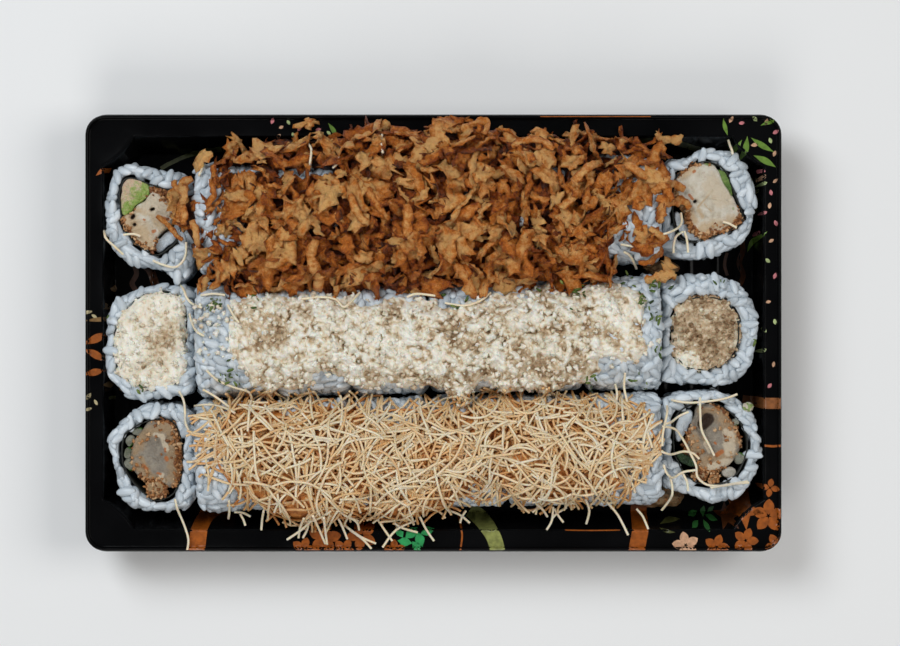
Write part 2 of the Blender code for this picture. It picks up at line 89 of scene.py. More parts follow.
def noiseValue(tree, scale, detail=3.0, rough=0.55, stretch=None, shift=0.0):
    place = objectPlace(tree)
    if stretch or shift:
        mapping = addNode(tree, "ShaderNodeMapping", {"Vector": place})
        mapping.inputs["Scale"].default_value = stretch or (1, 1, 1)
        mapping.inputs["Location"].default_value = (shift, shift, shift)
        place = mapping.outputs["Vector"]
    made = addNode(
        tree, "ShaderNodeTexNoise", {"Vector": place, "Scale": scale, "Detail": detail, "Roughness": rough}
    )
    return made.outputs["Fac"]


def ramp(tree, source, stops):
    made = addNode(tree, "ShaderNodeValToRGB", {"Fac": source})
    elements = made.color_ramp.elements
    while len(elements) < len(stops):
        elements.new(0.5)
    for element, (position, colour) in zip(elements, stops):
        element.position = position
        element.color = (*colour, 1.0)
    return made.outputs["Color"]


def mixColour(tree, share, first, second, blend="MIX"):
    made = addNode(tree, "ShaderNodeMix", data_type="RGBA", blend_type=blend)
    for socket, value in ((made.inputs[0], share), (made.inputs[6], first), (made.inputs[7], second)):
        if isinstance(value, bpy.types.NodeSocket):
            tree.links.new(value, socket)
        else:
            socket.default_value = value if isinstance(value, float) else (*value, 1.0)
    return made.outputs[2]


def mathValue(tree, operation, first, second=0.5, clamp=False):
    made = addNode(tree, "ShaderNodeMath", operation=operation, use_clamp=clamp)
    for socket, value in zip(made.inputs, (first, second)):
        if isinstance(value, bpy.types.NodeSocket):
            tree.links.new(value, socket)
        else:
            socket.default_value = value
    return made.outputs[0]


def attributeValue(tree, name):
    return addNode(tree, "ShaderNodeAttribute", attribute_name=name).outputs["Fac"]


def bump(tree, shader, height, strength, distance):
    made = addNode(tree, "ShaderNodeBump", {"Height": height, "Strength": strength, "Distance": distance})
    tree.links.new(made.outputs["Normal"], shader.inputs["Normal"])


# Shared helpers: meshes

def meshObject(name, vertices, faces, material=None, smooth=True, attributes=None, edges=()):
    mesh = bpy.data.meshes.new(name)
    mesh.from_pydata([tuple(v) for v in vertices], list(edges), [tuple(f) for f in faces])
    if faces:
        shape = bmesh.new()
        shape.from_mesh(mesh)
        bmesh.ops.recalc_face_normals(shape, faces=shape.faces)
        shape.to_mesh(mesh)
        shape.free()
    for key, values in (attributes or {}).items():
        layer = mesh.attributes.new(key, "FLOAT", "POINT")
        layer.data.foreach_set("value", np.asarray(values, dtype=np.float32))
    if smooth:
        mesh.shade_smooth()
    if material:
        mesh.materials.append(material)
    made = bpy.data.objects.new(name, mesh)
    scene.collection.objects.link(made)
    return made


def loftFaces(loopCount, pointCount, closed=False, capFirst=True, capLast=True):
    faces = []
    for row in range(loopCount if closed else loopCount - 1):
        following = (row + 1) % loopCount
        for i in range(pointCount):
            j = (i + 1) % pointCount
            faces.append(
                (row * pointCount + i, row * pointCount + j, following * pointCount + j, following * pointCount + i)
            )
    if not closed and capFirst:
        faces.append(tuple(range(pointCount))[::-1])
    if not closed and capLast:
        faces.append(tuple((loopCount - 1) * pointCount + i for i in range(pointCount)))
    return faces


def shapeObject(name, shape):
    mesh = bpy.data.meshes.new(name)
    shape.to_mesh(mesh)
    shape.free()
    made = bpy.data.objects.new(name, mesh)
    scene.collection.objects.link(made)
    return made


def lumpObject(name, detail, place):  # a ball of radius 1 with each vertex moved to its place
    shape = bmesh.new()
    bmesh.ops.create_icosphere(shape, subdivisions=detail, radius=1.0)
    for vertex in shape.verts:
        vertex.co = place(vertex.co.copy())
    return shapeObject(name, shape)


def spreadValues(spacing, density, seed, sizes, tilt, depths):  # a scattering's values, with lengths in mm
    return {
        "Spacing": spacing * mm, "Density": density, "Seed": seed, "Smallest": sizes[0], "Largest": sizes[1],
        "Tilt": tilt, "Deepest": depths[0] * mm, "Highest": depths[1] * mm,
    }


def triangles(thing):
    return sum(len(p.vertices) - 2 for p in thing.data.polygons)


def splinePoint(p0, p1, p2, p3, t):
    return (
        0.5
        * (2 * p1 + (p2 - p0) * t + (2 * p0 - 5 * p1 + 4 * p2 - p3) * t * t + (3 * p1 - p0 - 3 * p2 + p3) * t ** 3)
    )


def openCurve(corners, step):  # smooth line through corners and their ends
    corners = np.array(corners, float)
    last = len(corners) - 1
    points = []
    for i in range(last):
        near = [corners[min(max(i + k, 0), last)] for k in (-1, 0, 1, 2)]
        points += [splinePoint(*near, t) for t in np.arange(0, 1, step)]
    return np.array(points + [corners[-1]])


def smoothLoop(corners, count, wobble=0.0, seed=0):  # closed curve through corners in mm, evenly spaced, in metres
    corners = np.array(corners, float)
    total = len(corners)
    dense = []
    for i in range(total):
        near = [corners[(i + k) % total] for k in (-1, 0, 1, 2)]
        dense += [splinePoint(*near, t) for t in np.arange(0, 1, 0.05)]
    dense = np.array(dense)
    x, y = dense[:, 0], dense[:, 1]
    if np.sum(x * np.roll(y, -1) - np.roll(x, -1) * y) < 0:
        dense = dense[::-1]
    middle = dense.mean(axis=0)
    turns = np.arctan2(dense[:, 1] - middle[1], dense[:, 0] - middle[0])
    dense = np.roll(dense, -int(np.argmin(np.abs(turns))), axis=0)
    gaps = np.linalg.norm(np.roll(dense, -1, axis=0) - dense, axis=1)
    along = np.concatenate(([0], np.cumsum(gaps)))
    wanted = np.linspace(0, along[-1], count, endpoint=False)
    ring = np.vstack([dense, dense[:1]])
    points = np.column_stack([np.interp(wanted, along, ring[:, k]) for k in (0, 1)])
    if wobble:
        push = [wobble * noise.noise(Vector((p[0] * 0.45, p[1] * 0.45, seed * 3.1))) for p in points]
        points = offsetLoop(points, np.array(push))
    return points * mm


def offsetLoop(loop, distance):
    along = np.roll(loop, -1, axis=0) - np.roll(loop, 1, axis=0)
    along /= np.linalg.norm(along, axis=1)[:, None]
    outward = np.column_stack([along[:, 1], -along[:, 0]])
    return loop + outward * np.reshape(distance, (-1, 1))


def lift(loop, z):
    return np.column_stack([loop, np.broadcast_to(z, len(loop))])


def finishPiece(piece, slot, *nodes):
    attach(piece, "root")
    if nodes:
        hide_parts(*nodes)


def fbm(x, y, scale, seed, octaves=3):
    value, size = 0.0, 1.0
    for octave in range(octaves):
        value += size * noise.noise(Vector((x / mm * scale, y / mm * scale, seed + 7.7 * octave)))
        scale *= 2.1
        size *= 0.5
    return value


# Shared helpers: scattering with Geometry Nodes

scatterInputs = (
    ("Spacing", "NodeSocketFloat", 0.003),
    ("Density", "NodeSocketFloat", 400000.0),
    ("Seed", "NodeSocketInt", 1),
    ("Smallest", "NodeSocketFloat", 0.8),
    ("Largest", "NodeSocketFloat", 1.2),
    ("Tilt", "NodeSocketFloat", 0.3),
    ("Deepest", "NodeSocketFloat", 0.0),
    ("Highest", "NodeSocketFloat", 0.0),
)


def scatterTree(name, variants, material):  # variants spread where the surface's cover is high, each with a tone
    tree = bpy.data.node_groups.new(name, "GeometryNodeTree")
    tree.interface.new_socket("Surface", in_out="INPUT", socket_type="NodeSocketGeometry")
    identifiers = {}
    for label, kind, value in scatterInputs:
        socket = tree.interface.new_socket(label, in_out="INPUT", socket_type=kind)
        socket.default_value = value
        identifiers[label] = socket.identifier
    tree.interface.new_socket("Pieces", in_out="OUTPUT", socket_type="NodeSocketGeometry")
    given = tree.nodes.new("NodeGroupInput").outputs
    result = tree.nodes.new("NodeGroupOutput")

    def randomNode(kind, low, high, extraSeed):
        made = tree.nodes.new("FunctionNodeRandomValue")
        made.data_type = kind
        first = {"FLOAT_VECTOR": 0, "FLOAT": 2, "INT": 4}[kind]
        for index, value in ((first, low), (first + 1, high)):
            if isinstance(value, bpy.types.NodeSocket):
                tree.links.new(value, made.inputs[index])
            else:
                made.inputs[index].default_value = value
        seed = mathValue(tree, "ADD", given["Seed"], float(extraSeed))
        tree.links.new(seed, made.inputs["Seed"])
        return made.outputs[{"FLOAT_VECTOR": 0, "FLOAT": 1, "INT": 2}[kind]]

    cover = addNode(tree, "GeometryNodeInputNamedAttribute", {"Name": "cover"}, data_type="FLOAT")
    spread = addNode(
        tree,
        "GeometryNodeDistributePointsOnFaces",
        {
            "Mesh": given["Surface"],
            "Distance Min": given["Spacing"],
            "Density Max": given["Density"],
            "Density Factor": cover.outputs["Attribute"],
            "Seed": given["Seed"],
        },
        distribute_method="POISSON",
    )
    back = mathValue(tree, "MULTIPLY", given["Tilt"], -1.0)
    low = addNode(tree, "ShaderNodeCombineXYZ", {"X": back, "Y": back, "Z": 0.0}).outputs[0]
    high = addNode(
        tree, "ShaderNodeCombineXYZ", {"X": given["Tilt"], "Y": given["Tilt"], "Z": 2 * math.pi}
    ).outputs[0]
    turn = addNode(tree, "FunctionNodeEulerToRotation", {"Euler": randomNode("FLOAT_VECTOR", low, high, 11)})
    facing = addNode(tree, "FunctionNodeRotateRotation", rotation_space="LOCAL")
    tree.links.new(spread.outputs["Rotation"], facing.inputs["Rotation"])
    tree.links.new(turn.outputs[0], facing.inputs["Rotate By"])
    chosen = addNode(
        tree, "GeometryNodeCollectionInfo",
        {"Collection": variants, "Separate Children": True, "Reset Children": True},
    )
    placed = addNode(
        tree,
        "GeometryNodeInstanceOnPoints",
        {
            "Points": spread.outputs["Points"],
            "Instance": chosen.outputs[0],
            "Pick Instance": True,
            "Instance Index": randomNode("INT", 0, len(variants.objects) - 1, 23),
            "Rotation": facing.outputs[0],
            "Scale": randomNode("FLOAT", given["Smallest"], given["Largest"], 37),
        },
    )
    shift = addNode(tree, "ShaderNodeCombineXYZ", {"Z": randomNode("FLOAT", given["Deepest"], given["Highest"], 41)})
    moved = addNode(
        tree, "GeometryNodeTranslateInstances",
        {"Instances": placed.outputs[0], "Translation": shift.outputs[0], "Local Space": False},
    )
    toned = addNode(tree, "GeometryNodeStoreNamedAttribute", data_type="FLOAT", domain="INSTANCE")
    tree.links.new(moved.outputs[0], toned.inputs["Geometry"])
    toned.inputs["Name"].default_value = "tone"
    tree.links.new(randomNode("FLOAT", 0.0, 1.0, 53), toned.inputs["Value"])
    real = addNode(tree, "GeometryNodeRealizeInstances", {"Geometry": toned.outputs[0]})
    coated = addNode(tree, "GeometryNodeSetMaterial", {"Geometry": real.outputs[0], "Material": material})
    tree.links.new(coated.outputs[0], result.inputs[0])
    return tree, identifiers


def bakeModifier(name, source, tree, values):  # the source mesh run through the node group, as a new plain object
    modifier = source.modifiers.new("nodes", "NODES")
    modifier.node_group = tree
    for identifier, value in values.items():
        modifier[identifier] = value
    bpy.context.view_layer.update()
    mesh = bpy.data.meshes.new_from_object(source.evaluated_get(bpy.context.evaluated_depsgraph_get()))
    source.modifiers.remove(modifier)
    mesh.name = name
    mesh.shade_smooth()
    look = [material for material in mesh.materials if material][-1]
    mesh.materials.clear()
    mesh.materials.append(look)
    mesh.polygons.foreach_set("material_index", np.zeros(len(mesh.polygons), np.int32))
    made = bpy.data.objects.new(name, mesh)
    scene.collection.objects.link(made)
    return made


def scatter(name, surface, group, values):
    tree, identifiers = group
    made = bakeModifier(name, surface, tree, {identifiers[key]: value for key, value in values.items()})
    print(name, triangles(made), "triangles")
    return made


def variantCollection(name, objects):
    collection = bpy.data.collections.new(name)
    scene.collection.children.link(collection)
    for thing in objects:
        scene.collection.objects.unlink(thing)
        collection.objects.link(thing)
    return collection


def dropObjects(*objects):
    for thing in objects:
        bpy.data.objects.remove(thing)


# Places shared by the food: the rows and the end slices, in mm

foodPlan = {
    "base": 1.6,
    "rollHeight": 32.0,
    "cutFace": 25.35,
    "squareness": 2.3,
    "rowStart": -72.75,
    "sliceLength": 23.75,
    "rows": {
        "onion": {"y": 36.7, "slope": 0.0293, "half": 17.6},
        "crumb": {"y": -1.0, "slope": 0.0206, "half": 17.6},
        "noodle": {"y": -36.6, "slope": 0.0170, "half": 17.2},
    },
}

endSlices = {
    "onion_left": {
        "rice": [
            (-100.2, 38), (-99.6, 44), (-97.6, 49.5), (-93, 51.6), (-88, 51), (-83, 49.5), (-77, 48.5), (-73.8, 44),
            (-73.5, 36), (-73.7, 26), (-74.6, 18), (-78.5, 16), (-83, 19.3), (-89, 20.3), (-94, 22), (-98, 25.5),
            (-100, 31),
        ],
        "nori": [
            (-96.3, 40.5), (-96, 44), (-94.6, 47), (-92.2, 47.6), (-89.5, 46.8), (-86.5, 45.6), (-82.5, 44.4),
            (-79.3, 42.3), (-77.3, 39), (-76.6, 35), (-77.2, 30.8), (-79, 27.5), (-81.8, 25), (-84.2, 23.7),
            (-86.6, 24.3), (-89.2, 25.8), (-91.8, 28), (-94.6, 32), (-95.7, 36),
        ],
    },
    "onion_right": {
        "rice": [
            (70.5, 27), (73.5, 23.4), (80, 22.9), (86, 24), (90.5, 25.8), (94.5, 27.8), (97, 31.5), (98.5, 36),
            (98.8, 42), (97.6, 46.5), (95.9, 50.5), (93, 54.2), (89, 56), (84.5, 56.4), (80, 55.2), (76, 53.2),
            (71.8, 52.6), (70.5, 47), (70.4, 37),
        ],
        "nori": [
            (73.3, 45.5), (75, 48.6), (77.8, 51.2), (81, 52.3), (84.5, 52.5), (88, 51), (90.3, 48.8), (91.4, 45.5),
            (93, 41), (94.6, 37.4), (94.9, 34.7), (92.6, 32.2), (89, 30.6), (84.5, 29), (80.5, 27.8), (76.5, 28.4),
            (74, 31.5), (73.2, 36), (73, 41),
        ],
    },
    "crumb_left": {
        "rice": [
            (-100.1, -1), (-99.9, 4), (-98.2, 8.5), (-95, 11.5), (-90.5, 13.3), (-85, 14.5), (-79, 14.7),
            (-74.5, 13.5), (-73.5, 8), (-73.4, 0), (-73.5, -10), (-74.4, -17.8), (-80, -19.4), (-86, -20.2),
            (-92, -20), (-96.5, -16.6), (-99.6, -12.5), (-100.2, -7),
        ],
        "nori": [
            (-97, -5), (-96.6, 1), (-94.4, 5.6), (-91, 9.4), (-86.5, 11.5), (-81, 12), (-77.4, 9.5), (-76.4, 4),
            (-76.3, -3), (-76.5, -9), (-77.8, -14), (-81.5, -16.2), (-87, -16.7), (-92, -15.6), (-95.3, -12.6),
            (-96.8, -9),
        ],
    },
    "crumb_right": {
        "rice": [
            (70.5, 14), (75, 16.6), (80, 17.9), (85, 17.6), (90, 16.4), (94.5, 14.2), (97.6, 10.2), (99.3, 5),
            (99.1, 0), (98.4, -5), (97, -10), (93.5, -13.6), (88.5, -15.8), (82, -15.6), (76, -15.4), (71, -13.8),
            (70.4, -5), (70.4, 5),
        ],
        "nori": [
            (73.2, 0), (73.8, 6), (76.8, 9.8), (82, 11.2), (88, 10.4), (92, 7.2), (93.6, 2), (93.3, -3.4),
            (90.8, -7.8), (86, -10.6), (80, -11.3), (75.8, -9.2), (73.6, -5),
        ],
    },
    "noodle_left": {
        "rice": [
            (-99.3, -32), (-97, -28.5), (-93.5, -25.3), (-89.8, -22.8), (-84, -21.6), (-78, -22.4), (-74.2, -25),
            (-73.5, -32), (-73.4, -40), (-73.5, -48), (-75.2, -52.8), (-80, -54), (-86, -54.3), (-90.5, -54.2),
            (-94.3, -52), (-96.3, -47.5), (-97.4, -42.5), (-98.8, -37.5),
        ],
        "nori": [
            (-95.4, -35), (-94.6, -31.2), (-91, -28.2), (-86.5, -26.4), (-82, -26.2), (-79, -27.6), (-77.4, -31),
            (-76.6, -36), (-76.6, -41), (-77.4, -45.5), (-79.2, -49), (-82, -50.8), (-85.5, -51.2), (-88.8, -48.9),
            (-91.8, -46), (-94.3, -42.2), (-95.3, -38.5),
        ],
    },
    "noodle_right": {
        "rice": [
            (70.5, -22), (74, -18.8), (80, -18), (84, -17.7), (89, -18.6), (93.6, -20.8), (97, -24.2), (99.2, -27.5),
            (99.9, -32), (99.8, -37), (98.8, -42), (96.9, -46.5), (93.5, -50.2), (87.5, -51.6), (82, -50.6),
            (77.8, -48.6), (73, -48), (70.5, -44), (70.4, -33),
        ],
        "nori": [
            (73.3, -31), (73.4, -27.5), (75, -24.2), (78, -22.2), (82, -21.2), (86, -21.3), (89.5, -22.9),
            (93, -25.9), (95.3, -29.5), (96.3, -33), (95.9, -37), (94.6, -40.5), (93, -43.3), (90, -45.6),
            (86, -46.5), (82, -46.4), (78.5, -44.6), (75.4, -41), (73.6, -36.5),
        ],
    },
}


def rollTop(x, y, margin=0.0):  # height of the standing rolls over a place, in metres, or 0 beside them
    best = 0.0
    for row in foodPlan["rows"].values():
        across = (y - row["y"] * mm - x * row["slope"]) / (row["half"] * mm + margin)
        if abs(across) < 1:
            rise = (1 - abs(across) ** foodPlan["squareness"]) ** (1 / foodPlan["squareness"])
            best = max(best, (foodPlan["base"] + foodPlan["rollHeight"] / 2 * (1 + rise)) * mm + margin)
    return best


# Tray

tray = {
    "outer": (107.5, 67.5),
    "outerRadius": 6.5,
    "well": (101.7, 60.5),
    "wellCorner": (9.5, 9.2),
    "floorCorner": (9.0, 8.5),
    "cornerBulge": -0.35,
    "endWallRun": 1.0,
    "longWallRun": 4.0,
    "sheet": 0.7,
    "rimHeight": 20.5,
    "height": 22.0,
    "beadWidth": 1.3,
    "skirtInset": 0.5,
    "skirtBottom": 15.6,
    "flutePitch": 4.4,
    "fluteDepth": 0.35,
    "ribPitch": 8.0,
    "ribHalfWidth": 0.9,
    "ribHeight": 0.6,
    "sideStep": 1.1,
    "roughness": 0.16,
    "colour": (0.0018, 0.0018, 0.002),
    "shine": 0.07,
}


def cornerOutline(half, corner, bulge):  # a rectangle with cut to round corners, in mm
    steps = 7
    points = []
    for quarter in range(4):
        sx, sy = ((1, 1), (-1, 1), (-1, -1), (1, -1))[quarter]
        order = range(steps + 1) if quarter % 2 == 0 else range(steps, -1, -1)
        for i in order:
            share = i / steps
            turn = share * math.pi / 2
            flat = (half[0] - corner[0] * share, half[1] - corner[1] * (1 - share))
            curved = (half[0] - corner[0] * (1 - math.cos(turn)), half[1] - corner[1] * (1 - math.sin(turn)))
            points.append([sign * (f + (c - f) * bulge) for sign, f, c in zip((sx, sy), flat, curved)])
        following = ((-1, 1), (-1, -1), (1, -1), (1, 1))[quarter]
        if quarter % 2 == 0:
            sideEnd = [following[0] * (half[0] - corner[0]), following[1] * half[1]]
            count = int(2 * tray["well"][0] / tray["sideStep"])
        else:
            sideEnd = [following[0] * half[0], following[1] * (half[1] - corner[1])]
            count = int(2 * tray["well"][1] / tray["sideStep"])
        begin = points[-1]
        for k in range(1, count):
            points.append([begin[a] + (sideEnd[a] - begin[a]) * k / count for a in (0, 1)])
    return np.array(points)


def buildTray():
    outer, well = np.array(tray["outer"]), np.array(tray["well"])
    floor = well - (tray["endWallRun"], tray["longWallRun"])
    skirt = outer - tray["skirtInset"]
    rim, top, bead = tray["rimHeight"], tray["height"], tray["beadWidth"]
    loops = []

    def wellRing(half, grow, z, corner, flute=0.0):
        points = cornerOutline(np.array(half) + grow, corner, tray["cornerBulge"])
        if flute:
            phase = 2 * math.pi / tray["flutePitch"]
            for p in points:
                onEnd = abs(p[0]) > half[0] + grow - 0.05
                onSide = abs(p[1]) > half[1] + grow - 0.05
                wave = 0.5 + 0.5 * math.cos((p[1] if onEnd else p[0]) * phase)
                push = flute * wave ** 3
                if onEnd:
                    p[0] -= math.copysign(push, p[0])
                elif onSide:
                    p[1] -= math.copysign(push, p[1])
        loops.append(lift(points * mm, z * mm))

    def outerRing(half, grow, z):
        radius = tray["outerRadius"] - (outer[0] - half[0]) + grow
        loops.append(lift(cornerOutline(np.array(half) + grow, (radius, radius), 1.0) * mm, z * mm))

    floorCorner, wellCorner, flute = tray["floorCorner"], tray["wellCorner"], tray["fluteDepth"]
    wellRing(floor, -1.2, 0.7, floorCorner)
    wellRing(floor, -0.45, 0.85, floorCorner)
    wellRing(floor, 0.0, 1.5, floorCorner, flute)
    for share in (0.2, 0.45, 0.6):
        between = floor + (well - floor) * share
        wellRing(between, 0.0, 1.5 + (rim - 1.5) * share, floorCorner, flute * (1 if share < 0.5 else 0.4))
    between = floor + (well - floor) * 0.72
    wellRing(between, 0.0, 1.5 + (rim - 1.5) * 0.72, floorCorner)
    wellRing(well, -0.18, rim - 0.9, wellCorner)
    wellRing(well, -0.02, rim - 0.25, wellCorner)
    wellRing(well, 0.25, rim + 0.05, wellCorner)  # a slight ridge at the crest catches the light
    wellRing(well, 0.6, rim, wellCorner)
    outerRing(skirt, -bead - 0.3, rim)
    outerRing(skirt, -bead, rim + 0.12)
    for step in range(1, 8):
        turn = math.pi * step / 8
        outerRing(skirt, -bead / 2 - bead / 2 * math.cos(turn), rim + (top - rim) * math.sin(turn) ** 0.7)
    outerRing(skirt, 0.0, rim - 0.4)
    outerRing(skirt, 0.0, tray["skirtBottom"] + 1.0)
    outerRing(skirt, 0.1, tray["skirtBottom"] + 0.7)
    outerRing(outer, 0.0, tray["skirtBottom"] + 0.55)
    outerRing(outer, 0.0, tray["skirtBottom"])
    outerRing(skirt, -tray["sheet"], tray["skirtBottom"])
    outerRing(skirt, -tray["sheet"], rim - tray["sheet"])
    wellRing(well, 1.1, rim - tray["sheet"], wellCorner)
    wellRing(well, 0.6, rim - 1.4, wellCorner)
    wellRing(floor, 0.75, 1.2, floorCorner)
    wellRing(floor, 0.5, 0.4, floorCorner)
    wellRing(floor, 0.0, 0.0, floorCorner)
    count = len(loops[0])
    vertices = list(np.vstack(loops))
    faces = loftFaces(len(loops), count, capFirst=False)
    middle = len(vertices)
    # The floor inside the first loop is a grid of low ribs across the tray.
    columns = np.arange(-96, 97, 1.0)
    rows = np.array([-49, -48.4, -47.6, -24, 0, 24, 47.6, 48.4, 49.0])
    for y in rows:
        for x in columns:
            near = abs((x + tray["ribPitch"] / 2) % tray["ribPitch"] - tray["ribPitch"] / 2)
            up = tray["ribHeight"] * max(0.0, 1 - (near / tray["ribHalfWidth"]) ** 2) * (abs(y) < 48)
            vertices.append((x * mm, y * mm, (0.7 + up) * mm))
    wide = len(columns)
    for j in range(len(rows) - 1):
        for i in range(wide - 1):
            a = middle + j * wide + i
            faces.append((a, a + 1, a + wide + 1, a + wide))
    border = [middle + i for i in range(wide)]
    border += [middle + j * wide + wide - 1 for j in range(1, len(rows))]
    border += [middle + (len(rows) - 1) * wide + i for i in range(wide - 2, -1, -1)]
    border += [middle + j * wide for j in range(len(rows) - 2, 0, -1)]
    shape = bmesh.new()
    made = [shape.verts.new(v) for v in vertices]
    for face in faces:
        shape.faces.new([made[i] for i in face])
    shape.verts.index_update()
    edges = []
    for ring in (list(range(count)), border):
        for a, b in zip(ring, ring[1:] + ring[:1]):
            edges.append(shape.edges.get((made[a], made[b])))
    bmesh.ops.triangle_fill(shape, edges=edges, use_beauty=True)
    bmesh.ops.recalc_face_normals(shape, faces=shape.faces)
    form = shapeObject("tray_form", shape)
    mesh = form.data
    mesh.shade_smooth()
    mesh.set_sharp_from_angle(angle=math.radians(50))
    material, tree, shader = newMaterial(
        "tray_plastic", Roughness=tray["roughness"], Specular_IOR_Level=tray["shine"]
    )
    tint = ramp(
        tree, noiseValue(tree, 40, 2), [(0.3, tray["colour"]), (0.75, tuple(2.2 * c for c in tray["colour"]))]
    )
    tree.links.new(tint, shader.inputs["Base Color"])
    smear = ramp(tree, noiseValue(tree, 90, 4), [(0.35, (0.12,) * 3), (0.8, (0.3,) * 3)])
    tree.links.new(smear, shader.inputs["Roughness"])
    bump(tree, shader, noiseValue(tree, 260, 3), 0.12, 0.0004)
    mesh.materials.append(material)
    finishPiece(form, "tray", "tray")
    return form


trayForm = buildTray()
print("tray")

# Print on the tray: petals, leaves, flowers, twigs and bands, laid on its surface

